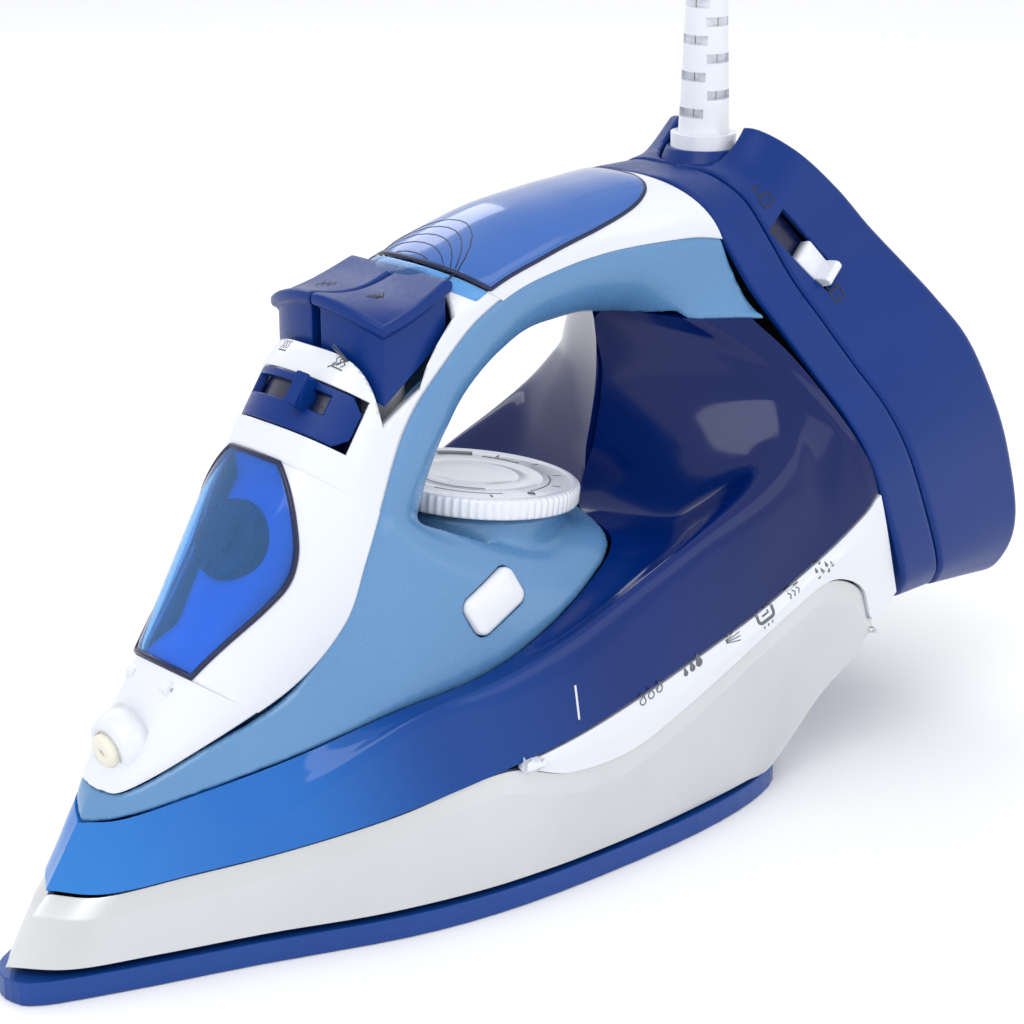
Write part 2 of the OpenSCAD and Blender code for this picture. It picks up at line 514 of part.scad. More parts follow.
// Hinge pin of the lid, and half the width of the tongue that turns on it
hinge_c = [47, 0, 69.2];
tongue_y = 5;
module filler_lid() color(LID_BLUE) place() {
    difference() {
        both_sides() half_sheet(loop_fn,
            [for (t = [2.68, 2.95, 3.3, 3.7, 4.1, 4.5, 4.9, 5.3, 5.6, 5.8, 5.93])
                [for (j = [0:5]) [t, lid_q(t, 0) * j / 5]]], 1.8, 1);
        for (s = [-1, 1]) translate(hinge_c + [0, s * 9, 0]) rotate([90, 0, 0])
            cylinder(d = 6, h = 7.4, center = true, $fn = 32);
        translate(hinge_c) rotate([90, 0, 0]) cylinder(d = 2.1, h = 24, center = true, $fn = 24);
    }
    difference() {
        union() {
            translate(hinge_c) rotate([90, 0, 0]) cylinder(d = 4.4, h = 2*tongue_y, center = true, $fn = 24);
            on_ridge(hinge_c) translate([-2.2, -tongue_y, 0]) cube([2.4, 2*tongue_y, 7.4]);
        }
        translate(hinge_c + [0, 10, 0]) rotate([90, 0, 0]) cylinder(d = 2.1, h = 20, $fn = 24);
    }
}
plug_c = [67.2, 0, 102.8];
module lid_plug() color("lightgray") place() on_ridge_out(plug_c - 2.2 * ridge_out)
    translate([0, 0, -3.2]) {
        cylinder(d = 20, h = 1.6);
        cylinder(d = 9, h = 3.2);
    }
module on_ridge_out(p) translate(p) rotate([0, -55.5, 0]) children();
module filler_funnel() color("gainsboro") place() on_ridge_out(plug_c - 5.5 * ridge_out) difference() {
    translate([0, 0, -12]) cylinder(d = 21, h = 11.9);
    translate([0, 0, -14]) cylinder(d = 17, h = 16);
}
module lid_hinge_pin() color(STEEL) place() translate(hinge_c + [0, 9, 0]) rotate([90, 0, 0])
    cylinder(d = 2, h = 18, $fn = 24);
nozzle_tip = [31, 0, 54.8];
module on_nozzle() at_frame(nozzle_tip, [0, 1, 0], [-0.98, 0, -0.2]) children();
module spray_nozzle() color(WHITE) place() on_nozzle() difference() {
    translate([0, 0, -13.8]) cylinder(d = 9, h = 13.8);
    translate([0, 0, -3]) cylinder(d = 1.6, h = 6, $fn = 16);
}
knurls = 84;
module temperature_dial() color(WHITE) place() on_dial() {
    translate([0, 0, -dial_h]) linear_extrude(dial_h) polygon([for (i = [0:2*knurls-1])
        let (r = dial_d/2 - (i % 2) * 0.7) [r * cos(180*i/knurls), r * sin(180*i/knurls)]]);
    translate([0, 0, -67.5]) cylinder(d = 6, h = 63, $fn = 24);
}
module spindle_sleeve() color("gainsboro") place() on_dial() difference() {
    translate([0, 0, -50]) cylinder(d = 11, h = 36, $fn = 32);
    translate([0, 0, -51]) cylinder(d = 6.2, h = 40, $fn = 24);
}
module thermostat() color(BRASS) place() translate([144, 0, base_top + 1.5]) difference() {
    union() {
        translate([-13, -9, 0]) cube([26, 18, 8]);
        translate([0, 0, 8]) cylinder(d = 13, h = 4);
    }
    translate([0, 0, 8.8]) cylinder(d = 9, h = 4);
}
module thermal_fuse() color(STEEL) place() translate([170, -18, base_top + 4.6]) rotate([90, 0, 90])
    cylinder(d = 6, h = 20, $fn = 24, center = true);
// Self-clean button, a rounded lozenge in the saddle flank
clean_c = [129.4, -33.1, 77.4];
module on_clean() at_frame(clean_c, [0.92, 0.07, 0.38], [-0.05, -0.95, 0.29]) children();
module clean_2d(d) offset(r = 3 + d, $fn = 24) square([12.4, 5], center = true);
module clean_button() color(WHITE) place() on_clean() {
    translate([0, 0, -3.6]) linear_extrude(4.6) clean_2d(0);
    translate([0, 0, -15]) cylinder(d = 4, h = 12, $fn = 20);
}
module clean_valve() color("gainsboro") place() on_clean() translate([0, 0, -24]) difference() {
    cylinder(d = 8, h = 14, $fn = 24);
    translate([0, 0, 2]) cylinder(d = 4.1, h = 14, $fn = 24);
}

// ---------- rear of the iron ----------

module rear_collar() color(NAVY) place() difference() {
    on_dock(collar_x, module_x - collar_x) pear_2d(0);
    on_dock(collar_x - 1, module_x - collar_x + 2) pear_2d(3);
}
module rear_bulkhead() color(DARK) place() difference() {
    on_dock(collar_x + 4, 2.5) pear_2d(3.3);
    translate([210, -17.3, 88.7]) cube([60, 34.6, 22.6]);
}
pin_ys = [-10, 0, 10];
module contact_socket() color(DARK) place() difference() {
    translate([222, -17, 89]) cube([26, 34, 22]);
    for (y = pin_ys) translate([226, y, 100]) rotate([0, 90, 0]) cylinder(d = 5, h = 30, $fn = 24);
}
module internal_wires() color("firebrick") place() for (side = [-1, 1])
    bar_path([[221.2, 10*side, 100], [212, 12*side, 92], [206, 20*side, 74], [207, 23*side, 46],
        [214, 22.5*side, 28], [215.5, 22*side, heater_z + 1.7]], 2.4, 8);

// ---------- power module ----------

guard_base = [240, 0, 171];
flange_d = 24.6;
slot_c = [247.2, -32.1, 149.4];
slot_run = [0.63, -0.22, -0.74];
module on_slot() at_frame(slot_c, slot_run, [-0.1, -0.95, 0.29]) children();
module module_shell() color(NAVY) place() difference() {
    both_sides() half_sheet(module_pt, rect_grid([0, 0.5, 1, 1.5, 2],
        [for (v = [0:0.5:14]) v]), 2.2, 1);
    on_slot() translate([-lock_travel - 2, -4.2, -12]) cube([lock_travel + 14.5, 8.4, 24]);
    on_dock(module_x - 30, 30 + dock_gap) translate([-60, -80]) square([260, 160]);
    guard_seat();
}
// Opening in the top of the module that the flange of the cord guard sits in
module guard_seat() translate(guard_base) {
    translate([0, 0, -20]) cylinder(d = 22.2, h = 60);
    cylinder(d = flange_d + 0.2, h = 30);
}
module module_front() color(DARK) place() difference() {
    on_dock(module_x + dock_gap + 0.3, 2.2) pear_2d(3.4);
    for (y = pin_ys) translate([200, y, 100]) rotate([0, 90, 0]) cylinder(d = 4, h = 90, $fn = 24);
    on_slot() translate([-16, -6, -14]) cube([32, 12, 20]);
    guard_seat();
}
module module_heel() color(NAVY) place() difference() {
    both_sides() half_sheet(heel_pt, rect_grid([0, 1, 2], steps(1.5, 13, 23)), 2.2, 1);
    guard_seat();
    for (p = foot_spots) translate(p) rotate([0, 90, 0]) cylinder(d = 10.1, h = 30, center = true);
    for (p = heel_screw_spots) translate(p) rotate([0, 90, 0])
        cylinder(d = 5.1, h = 30, center = true, $fn = 24);
}
module contact_pins() color(BRASS) place() for (y = pin_ys) translate([242, y, 100]) rotate([0, 90, 0])
    cylinder(d = 4, h = 26, $fn = 24);
foot_spots = [[316, 38, 84], [316, -38, 84], [320, 36, 58], [320, -36, 58]];
module heel_feet() color(DARK) place() for (p = foot_spots) translate(p + [-5, 0, 0])
    rotate([0, 90, 0]) cylinder(d = 10, h = body_length - p.x + 5, $fn = 32);
heel_screw_spots = [[302, 26, 104], [302, -26, 104]];
module heel_screws() color(STEEL) place() for (p = heel_screw_spots) translate(p)
    rotate([0, 90, 0]) cylinder(d = 5, h = 4, $fn = 24);
module lock_slider() color(WHITE) place() on_slot() {
    translate([-0.5, -4, -3]) cube([12.6, 8, 3.6]);
    translate([8, -3.6, 0]) cube([3, 7.2, 5]);
}
module guard_flange() color(NAVY) place() translate(guard_base) difference() {
    union() {
        cylinder(d1 = flange_d, d2 = flange_d - 4, h = 4.4, $fn = 48);
        translate([0, 0, -4]) cylinder(d = 22, h = 4.2, $fn = 48);
    }
    translate([0, 0, -5]) cylinder(d = 12.2, h = 12, $fn = 48);
}
guard_top = 226;
module cord_guard() color(WHITE) place() translate([240, 0, 0]) difference() {
    union() {
        translate([0, 0, 166]) cylinder(d = 12, h = 10);
        translate([0, 0, 175.4]) cylinder(d = 18.5, h = 4);
        translate([0, 0, 179.4]) rotate_extrude() polygon([[0, 0], [7.2, 0], [5.4, guard_top - 179.4],
            [0, guard_top - 179.4]]);
    }
    translate([0, 0, 150]) cylinder(d = cord_d + 0.4, h = 90);
    for (i = [0:7]) translate([0, 0, 184 + 5*i]) rotate([0, 0, 90 * (i % 2)]) for (s = [0, 180])
        rotate([0, 0, s]) translate([cord_d/2 + 0.1, -4.5, 0]) cube([8, 9, 2.6]);
}

// ---------- mains cord ----------

// Route of the free cord: out of the guard, over, down behind the heel and along
// the surface into the coil
cord_route = [[240, 0, 174], [240, 0, 200], [240, 0, 226], [240, 0, 242], [243, 3, 258], [252, 11, 270],
    [264, 22, 274], [276, 33, 270], [286, 42, 258], [292, 48, 240], [296, 51, 215], [300, 55, 185],
    [304, 58, 155], [307, 61, 125], [309.5, 63, 95], [311, 64, 66], [311.5, 64.3, 40],
    [315.5, 65.8, 21.5], [325, 70, 9.5], [333, 74, 6]];
coil_c = [316, 118, 1];
coil_in = coil_d/2 - 1.5*cord_d - 0.1;
coil_out = coil_d/2 + 1.5*cord_d + 0.1;
coil_h = 19.2;
// Tail from the coil's top layer to the plug, which points back along the iron
cord_tail = [[280, 151.5, 18], [270, 150.2, 18.5], [260.1, 150, 18.6]];
plug_p = [260, 150, 18.6];
module power_cord() color("whitesmoke") place() {
    bar_path([for (i = [0:2*(len(cord_route)-1)]) curve(cord_route, i/2)], cord_d, 8);
    bar_path(cord_tail, cord_d, 8);
}
module cord_coil() color("whitesmoke") place() translate(coil_c) rotate_extrude($fn = 72)
    translate([coil_in, 0]) square([coil_out - coil_in, coil_h]);
module cord_tie() color(DARK) place() translate(coil_c - [(coil_in + coil_out)/2, 0, coil_c.z]) difference() {
    translate([-12.6, -4, 0]) cube([25.2, 8, coil_h + 2.4]);
    translate([-11, -5, 1]) cube([22, 10, coil_h + 0.4]);
}
module plug_body() color("whitesmoke") place() translate(plug_p) rotate([0, -90, 0]) {
    cylinder(d1 = 10, d2 = 14, h = 24, $fn = 32);
    translate([0, 0, 24]) cylinder(d1 = 24, d2 = 34, h = 14);
    translate([0, 0, 38]) cylinder(d = 37, h = 16);
}
module plug_pins() color(STEEL) place() for (y = [-9.5, 9.5]) translate(plug_p + [-54, y, 0])
    rotate([0, -90, 0]) cylinder(d = 4.8, h = 19, $fn = 24);

soleplate();
heating_base();
heating_element();
steam_chamber_cover();
heat_skirt();
tail_cover();
rear_band();
water_tank();
tank_floor();
saddle_shell();
handle_shell();
grip_insert();
spray_button();
steam_button();
spray_pump();
steam_pump();
pump_hoses();
lever_bezel();
steam_lever();
valve_seat();
filler_lid();
lid_plug();
lid_hinge_pin();
lid_hinge_ears();
filler_funnel();
spray_nozzle();
temperature_dial();
spindle_sleeve();
thermostat();
thermal_fuse();
clean_button();
clean_valve();
rear_collar();
rear_bulkhead();
contact_socket();
internal_wires();
base_screws();
module_shell();
module_front();
module_heel();
contact_pins();
heel_feet();
heel_screws();
lock_slider();
guard_flange();
cord_guard();
power_cord();
cord_coil();
cord_tie();
plug_body();
plug_pins();
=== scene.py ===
import math

import bpy
import bmesh
import numpy as np
from mathutils import Matrix, Vector
from mathutils.bvhtree import BVHTree


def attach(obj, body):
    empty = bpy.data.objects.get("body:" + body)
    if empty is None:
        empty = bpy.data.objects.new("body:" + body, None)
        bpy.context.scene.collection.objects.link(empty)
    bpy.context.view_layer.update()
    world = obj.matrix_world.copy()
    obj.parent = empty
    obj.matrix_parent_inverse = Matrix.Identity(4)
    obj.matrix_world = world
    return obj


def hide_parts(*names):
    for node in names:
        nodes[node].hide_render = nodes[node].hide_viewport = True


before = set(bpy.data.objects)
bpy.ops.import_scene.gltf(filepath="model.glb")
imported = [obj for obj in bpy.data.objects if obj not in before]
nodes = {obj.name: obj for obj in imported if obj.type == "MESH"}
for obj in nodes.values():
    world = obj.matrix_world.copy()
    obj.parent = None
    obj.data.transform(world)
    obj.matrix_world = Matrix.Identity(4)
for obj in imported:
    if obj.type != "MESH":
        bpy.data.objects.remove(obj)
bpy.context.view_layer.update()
scene = bpy.context.scene

MM = 0.001
MID_X = 162
ORIGIN = np.array([MID_X, 0, 0])


def point(x, y, z):
    """A place in millimetres from the nose tip, in the frame's metres."""
    return Vector(((x - MID_X) * MM, y * MM, z * MM))


def table(text, *shape):
    """Numbers from rows of text, as points or as rows of points."""
    return np.array(text.split(), float).reshape(-1, *shape)


# ---------- camera ----------

camera = bpy.data.objects.new("camera", bpy.data.cameras.new("camera"))
scene.collection.objects.link(camera)
camera.data.lens = 84.63
camera.data.sensor_width = 36
camera.location = point(-257.7, -453.0, 300.7)
camera.rotation_euler = (point(166.55, 0, 84.1) - camera.location).to_track_quat("-Z", "Y").to_euler()
scene.camera = camera
scene.view_settings.view_transform = "Standard"


# ---------- mains cord ----------

CORD_D = 7
CORD_ROUTE = table("""
    240 0 174  240 0 200  240 0 226  240 0 242  243 3 258  252 11 270  264 22 274  276 33 270
    286 42 258  292 48 240  296 51 215  300 55 185  304 58 155  307 61 125  309.5 63 95  311 64 66
    311.5 64.3 40  315.5 65.8 21.5  325 70 9.5  333 74 6  340 78 4.7  344 81.3 4.6""", 3)
CORD_TAIL = table("""
    306 156.5 17.2  296 155 17.4  287 152.5 17.8  280 151.5 18  270 150.2 18.5  260.1 150 18.6""", 3)
COIL_C = (316, 118)
# Degrees: where the first turn starts, where the last one ends, and how long a turn steps over to the next
COIL_START = -47.6
COIL_END = 90
SHIFT = 120
# Radius and height of each turn of the coil, from the bottom layer to the top one
COIL_TURNS = [(46.1, 4.6), (39, 4.6), (31.9, 4.6), (35.5, 10.8), (42.5, 10.8), (39, 17)]


def coil_points():
    """The coil turn by turn, with a point every 10 degrees."""
    out = []
    for i, (radius, height) in enumerate(COIL_TURNS):
        last = i == len(COIL_TURNS) - 1
        sweep = COIL_END - COIL_START if last else 360
        after = COIL_TURNS[i] if last else COIL_TURNS[i + 1]
        count = int(sweep / 10)
        for k in range(count + (1 if last else 0)):
            turned = sweep * k / count
            f = max(0, (turned - (360 - SHIFT)) / SHIFT)
            f = f * f * (3 - 2 * f)
            a = math.radians(COIL_START + turned)
            r = radius + (after[0] - radius) * f
            z = height + (after[1] - height) * f
            out.append([COIL_C[0] + r * math.cos(a), COIL_C[1] + r * math.sin(a), z])
    return out


cord_points = np.vstack([CORD_ROUTE, coil_points(), CORD_TAIL]).tolist()
curve = bpy.data.curves.new("mains_cord", "CURVE")
curve.dimensions = "3D"
curve.resolution_u = 6
curve.bevel_depth = CORD_D / 2 * MM
curve.bevel_resolution = 5
curve.use_fill_caps = True
line = curve.splines.new("BEZIER")
line.bezier_points.add(len(cord_points) - 1)
places = [point(*p) for p in cord_points]
for i, knot in enumerate(line.bezier_points):
    before, after = places[max(i - 1, 0)], places[min(i + 1, len(places) - 1)]
    lean = (after - before).normalized()
    knot.co = places[i]
    knot.handle_left_type = knot.handle_right_type = "FREE"
    knot.handle_left = places[i] - lean * (places[i] - before).length / 3
    knot.handle_right = places[i] + lean * (after - places[i]).length / 3
mains_cord = bpy.data.objects.new("mains_cord", curve)
scene.collection.objects.link(mains_cord)


# ---------- materials ----------

CLOUD_SCALE = 30
GRAIN_DEPTH = 0.00012


def srgb(r, g, b):
    """A colour of 0 to 255 steps, as the linear value that the shader takes."""
    return tuple(c / 255 / 12.92 if c < 10 else ((c / 255 + 0.055) / 1.055) ** 2.4
                 for c in (r, g, b)) + (1,)


def new_node(tree, kind, **inputs):
    """A shader node; an input's name is given with _ for each space."""
    node = tree.nodes.new(kind)
    for key, value in inputs.items():
        node.inputs[key.replace("_", " ")].default_value = value
    return node


def colour_mix(tree, factor, low, high):
    """A mix of two colours, each a colour or a socket, by a socket from 0 to 1."""
    mix = tree.nodes.new("ShaderNodeMix")
    mix.data_type = "RGBA"
    tree.links.new(factor, mix.inputs["Factor"])
    for name, value in (("A", low), ("B", high)):
        socket = next(s for s in mix.inputs if s.name == name and s.type == "RGBA")
        if isinstance(value, tuple):
            socket.default_value = value
        else:
            tree.links.new(value, socket)
    return next(s for s in mix.outputs if s.type == "RGBA")


def ranged(tree, value, low, high, from_low=0.3, from_high=0.7):
    """A socket's value moved from one range to another; the first one suits a noise."""
    node = new_node(tree, "ShaderNodeMapRange", From_Min=from_low, From_Max=from_high,
                    To_Min=low, To_Max=high)
    tree.links.new(value, node.inputs["Value"])
    return node.outputs["Result"]


def shade(colour, gain):
    return tuple(min(1, c * gain) for c in colour[:3]) + (1,)


def material(name, colour, rough, spread, vary, grain, bump, blend=None, **shader):
    """Moulded plastic or metal: a cloudy colour, uneven gloss and a fine grain, all from object space.
    The roughness varies by spread and the colour by the share vary; grain is the scale of the fine noise.
    blend(tree, place) may give the colour's socket instead."""
    mat = bpy.data.materials.new(name)
    mat.use_nodes = True
    tree = mat.node_tree
    base = tree.nodes["Principled BSDF"]
    place = tree.nodes.new("ShaderNodeTexCoord").outputs["Object"]

    def noise(scale, detail):
        node = new_node(tree, "ShaderNodeTexNoise", Scale=scale, Detail=detail)
        tree.links.new(place, node.inputs["Vector"])
        return node.outputs["Fac"]

    if blend:
        tint = blend(tree, place)
    else:
        colour = srgb(*colour)
        tint = colour_mix(tree, ranged(tree, noise(CLOUD_SCALE, 3), 0, 1),
                          shade(colour, 1 - vary), shade(colour, 1 + vary))
    tree.links.new(tint, base.inputs["Base Color"])
    fine = noise(grain, 2)
    tree.links.new(ranged(tree, fine, max(0.02, rough - spread), rough + spread), base.inputs["Roughness"])
    dent = new_node(tree, "ShaderNodeBump", Strength=bump, Distance=GRAIN_DEPTH)
    tree.links.new(fine, dent.inputs["Height"])
    tree.links.new(dent.outputs["Normal"], base.inputs["Normal"])
    for key, value in shader.items():
        base.inputs[key.replace("_", " ")].default_value = value
    return mat


def along_x(stops, lift=0.0):
    """A colour ramp along the iron; stops are (x in millimetres, colour). lift moves it with height."""
    def build(tree, place):
        split = tree.nodes.new("ShaderNodeSeparateXYZ")
        tree.links.new(place, split.inputs[0])
        run = tree.nodes.new("ShaderNodeMath")
        run.operation = "MULTIPLY_ADD"
        tree.links.new(split.outputs["Z"], run.inputs[0])
        run.inputs[1].default_value = lift
        tree.links.new(split.outputs["X"], run.inputs[2])
        low, high = stops[0][0], stops[-1][0]
        share = ranged(tree, run.outputs[0], 0, 1, (low - MID_X) * MM, (high - MID_X) * MM)
        ramp = tree.nodes.new("ShaderNodeValToRGB")
        ramp.color_ramp.interpolation = "EASE"
        while len(ramp.color_ramp.elements) < len(stops):
            ramp.color_ramp.elements.new(0.5)
        for element, (x, colour) in zip(ramp.color_ramp.elements, stops):
            element.position = (x - low) / (high - low)
            element.color = srgb(*colour)
        tree.links.new(share, ramp.inputs[0])
        return ramp.outputs["Color"]
    return build


WHITE = material("white_plastic", (216, 220, 229), 0.2, 0.04, 0.015, 1100, 0.02, Coat_Weight=0.35,
                 Coat_Roughness=0.06)
CREAM = material("cream_plastic", (226, 222, 208), 0.32, 0.05, 0.02, 1100, 0.03)
LIGHT_BLUE = material("light_blue_plastic", (86, 134, 180), 0.28, 0.02, 0.02, 900, 0.008,
                      Coat_Weight=0.2, Coat_Roughness=0.08)
NAVY = material("navy_plastic", (0, 44, 116), 0.34, 0.05, 0.03, 900, 0.02, Specular_IOR_Level=0.22)
TANK = material("tank_plastic", None, 0.12, 0.03, 0.03, 700, 0.015,
                blend=along_x([(20, (44, 118, 196)), (75, (30, 100, 180)), (125, (6, 58, 132)),
                               (180, (1, 36, 104)), (250, (0, 22, 82))], 0.35),
                Coat_Weight=0.1, Coat_Roughness=0.05, Specular_IOR_Level=0.25)
LID = material("lid_plastic", (120, 190, 255), 0.06, 0.02, 0.03, 700, 0.01, Transmission_Weight=0.9,
               Coat_Weight=0.2, IOR=1.2)
WELL = material("well_plastic", (70, 148, 236), 0.35, 0.05, 0.04, 700, 0.04)
# Deep blue for the gaskets, seams, printed grip lines, lid plug and filler funnel, and painted shade on the
# sheets behind the lever's slot and under the lock slider's slot.
DEEP_BLUE_AND_SHADE = material("deep_blue_and_painted_shade", (4, 18, 62), 0.3, 0.05, 0.06, 700, 0.04)
GRIP = material("grip_plastic", (26, 88, 168), 0.16, 0.03, 0.03, 800, 0.02, Coat_Weight=0.6,
                Coat_Roughness=0.05)
SILVER = material("silver_paint", (204, 206, 208), 0.36, 0.08, 0.035, 2600, 0.05, Metallic=0.62,
                  Coat_Weight=0.15)
PLATE = material("coated_plate", (12, 62, 138), 0.34, 0.08, 0.05, 1500, 0.08, Metallic=0.25)
# The heating base is aluminium; its near-black colour is painted shade for the dark gap between the soleplate
# and the skirt.
BASE_IN_PAINTED_SHADE = material("heating_base_painted_shade", (14, 18, 30), 0.42, 0.1, 0.2, 900, 0.1, Metallic=0.2)
STEEL = material("steel", (168, 170, 174), 0.3, 0.1, 0.06, 1500, 0.08, Metallic=0.95)
DARK = material("dark_plastic", (26, 28, 34), 0.45, 0.08, 0.12, 1200, 0.08)
RUBBER = material("black_rubber", (20, 21, 24), 0.7, 0.08, 0.15, 1500, 0.15)
GREY = material("grey_print", (96, 100, 108), 0.5, 0.05, 0.05, 1500, 0.02)
NATURAL = material("natural_plastic", (214, 216, 218), 0.45, 0.06, 0.04, 900, 0.05)
BRASS = material("brass", (196, 158, 88), 0.28, 0.08, 0.06, 1500, 0.08, Metallic=0.95)
SILICONE = material("silicone_hose", (226, 228, 230), 0.5, 0.06, 0.03, 1500, 0.05)
WIRE = material("wire_sleeve", (150, 34, 30), 0.5, 0.06, 0.08, 1500, 0.05)
CORD = material("cord_jacket", (232, 234, 238), 0.42, 0.06, 0.03, 1600, 0.1)
FLOOR = material("floor_paper", (246, 247, 249), 0.6, 0.05, 0.006, 300, 0.02)


# ---------- curves and skins ----------

def weights(count, at):
    """Catmull-Rom weights of count control points at each of the parameters; the ends run on straight."""
    out = np.zeros((len(at), count))
    for row, u in enumerate(at):
        i = int(max(0, min(math.floor(u), count - 2)))
        f = u - i
        shares = (-f + 2*f*f - f**3, 2 - 5*f*f + 3*f**3, f + 4*f*f - 3*f**3, f**3 - f*f)
        for j, share in enumerate(shares, i - 1):
            share /= 2
            if 0 <= j < count:
                out[row, j] += share
            else:
                end, inner = (0, 1) if j < 0 else (-1, -2)
                out[row, end] += 2 * share
                out[row, inner] -= share
    return out


def spline(points, at):
    """Points of the smooth curve through a row of points."""
    points = np.asarray(points, float)
    return weights(len(points), at) @ points


def surface(net, us, vs):
    """Points of the smooth surface through a net of rows."""
    net = np.asarray(net)
    grid = np.einsum("ui,vj,ijk->uvk", weights(len(net), us), weights(net.shape[1], vs), net)
    grid[..., 1] = np.maximum(grid[..., 1], 0)
    return grid


def normals(grid, side):
    """Outward unit normals of a grid of points on the +y half; they stay upright on the middle plane."""
    n = side * np.cross(np.gradient(grid, axis=0), np.gradient(grid, axis=1))
    n[grid[..., 1] < 0.01, 1] = 0
    return n / np.maximum(np.linalg.norm(n, axis=-1, keepdims=True), 1e-9)


def smoothstep(x):
    x = np.clip(x, 0, 1)
    return x * x * (3 - 2 * x)


def make(name, verts, faces, merge=0.0):
    """A smooth mesh object from points in millimetres."""
    mesh = bpy.data.meshes.new(name)
    mesh.from_pydata(((np.asarray(verts, float) - ORIGIN) * MM).tolist(), [], [list(f) for f in faces])
    if merge:
        work = bmesh.new()
        work.from_mesh(mesh)
        bmesh.ops.remove_doubles(work, verts=work.verts, dist=merge * MM)
        bmesh.ops.dissolve_degenerate(work, edges=work.edges, dist=merge * MM)
        work.to_mesh(mesh)
        work.free()
    mesh.polygons.foreach_set("use_smooth", [True] * len(mesh.polygons))
    obj = bpy.data.objects.new(name, mesh)
    scene.collection.objects.link(obj)
    return obj


def grid_faces(m, n, start=0, flip=False):
    """Quads of a grid of m rows of n points, counted from start."""
    at = np.arange(m * n).reshape(m, n) + start
    quads = np.stack([at[:-1, :-1], at[1:, :-1], at[1:, 1:], at[:-1, 1:]], -1).reshape(-1, 4)
    return (quads[:, ::-1] if flip else quads).tolist()


def ring_faces(rings, count, closed=False):
    """Quads between each of a row of rings of count points and the next one."""
    at = np.arange(rings * count).reshape(rings, count)
    if closed:
        at = np.vstack([at, at[:1]])
    then = np.roll(at, -1, axis=1)
    return np.stack([at[:-1], then[:-1], then[1:], at[1:]], -1).reshape(-1, 4).tolist()


def mirrored(name, grid):
    """An open skin drawn as its +y half and mirrored."""
    m, n = grid.shape[:2]
    half = grid.reshape(-1, 3)
    verts = np.vstack([half, half * [1, -1, 1]])
    return make(name, verts, grid_faces(m, n) + grid_faces(m, n, m * n, True), 0.01)


def sunk(grid, out, depth):
    """A grid moved inwards along its normals, held on its own side of the middle plane."""
    grid = grid - out * depth
    grid[..., 1] = np.maximum(grid[..., 1], 0)
    return grid


def skin(name, grid, out, wall, side):
    """A closed sheet drawn as its +y half and mirrored. out holds the unit normals that point outwards."""
    m, n = grid.shape[:2]
    k = m * n
    middle = grid[..., 1] < 0.01
    inner = grid - wall * out
    inner[..., 1] = np.where(middle, 0, np.maximum(inner[..., 1], 0.02))
    at = np.arange(k).reshape(m, n)
    rim = [*at[0], *at[1:, -1], *at[-1, :-1][::-1], *at[1:-1, 0][::-1]]
    flat = middle.reshape(-1)
    faces = grid_faces(m, n) + grid_faces(m, n, k, True)
    faces += [[a, b, k + b, k + a] for a, b in zip(rim, rim[1:] + rim[:1]) if not (flat[a] and flat[b])]
    half = np.vstack([grid.reshape(-1, 3), inner.reshape(-1, 3)])
    if side < 0:
        faces = [f[::-1] for f in faces]
    verts = np.vstack([half, half * [1, -1, 1]])
    return make(name, verts, faces + [[q + 2 * k for q in f[::-1]] for f in faces], 0.002)


def applied(obj):
    """The object with its modifiers turned into its mesh."""
    graph = bpy.context.evaluated_depsgraph_get()
    mesh = bpy.data.meshes.new_from_object(obj.evaluated_get(graph))
    obj.modifiers.clear()
    obj.data = mesh
    return obj


def thicken(obj, wall, even=True):
    """A wall of that many millimetres, inwards from the surface."""
    mod = obj.modifiers.new("wall", "SOLIDIFY")
    mod.thickness = wall * MM
    mod.offset = -1
    mod.use_even_offset = mod.use_quality_normals = even
    return obj


# Rounding of a shell's rim: width in millimetres, and the least angle of an edge that gets it
SHELL_EDGE = (0.3, 50)


def soften(obj, width, angle=40, segments=2):
    """Rounded edges with even shading."""
    mod = obj.modifiers.new("edges", "BEVEL")
    mod.width = width * MM
    mod.segments = segments
    mod.limit_method = "ANGLE"
    mod.angle_limit = math.radians(angle)
    mod.use_clamp_overlap = True
    shading = obj.modifiers.new("shading", "WEIGHTED_NORMAL")
    shading.keep_sharp = True
    shading.weight = 80
    return obj


def cut(obj, *cutters):
    """Takes closed cutter objects out of the piece, and removes them."""
    for cutter in cutters:
        mod = obj.modifiers.new("cut", "BOOLEAN")
        mod.operation = "DIFFERENCE"
        mod.solver = "MANIFOLD"
        mod.object = cutter
        applied(obj)
        bpy.data.objects.remove(cutter)
    return obj


def dress(obj, body, mat, slot, *replaced):
    """Gives a piece its material and body, and hides the nodes that it stands for. The slot is not used."""
    obj.data.materials.clear()
    obj.data.materials.append(mat)
    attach(obj, body)
    if replaced:
        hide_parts(*replaced)
    return obj


def placed(obj, matrix):
    """Moves a mesh that was made in local millimetres into a frame of the iron."""
    shift = Matrix.Diagonal((MM, MM, MM, 1))
    obj.data.transform(shift @ matrix @ shift.inverted() @ Matrix.Translation(ORIGIN * MM))
    obj.data.transform(Matrix.Translation(-ORIGIN * MM))
    return obj


def at_frame(p, along, out):
    """Local x runs along and local z points out, at a point."""
    a = Vector(along).normalized()
    b = Vector(out).cross(a).normalized()
    c = a.cross(b)
    turn = Matrix((a, b, c)).transposed().to_4x4()
    return Matrix.Translation(p) @ turn


def tilted(p, degrees):
    """An upright frame at a point, turned about y."""
    return Matrix.Translation(p) @ Matrix.Rotation(math.radians(degrees), 4, "Y")


def lathe(name, profile, matrix, around=64):
    """A turned piece about local z; profile holds [radius, height] from one end to the other."""
    angles = np.linspace(0, 2 * math.pi, around, endpoint=False)
    verts = [[r * math.cos(a), r * math.sin(a), z] for r, z in profile for a in angles]
    obj = fill_ends(make(name, verts, ring_faces(len(profile), around), 0.001))
    return placed(obj, matrix)


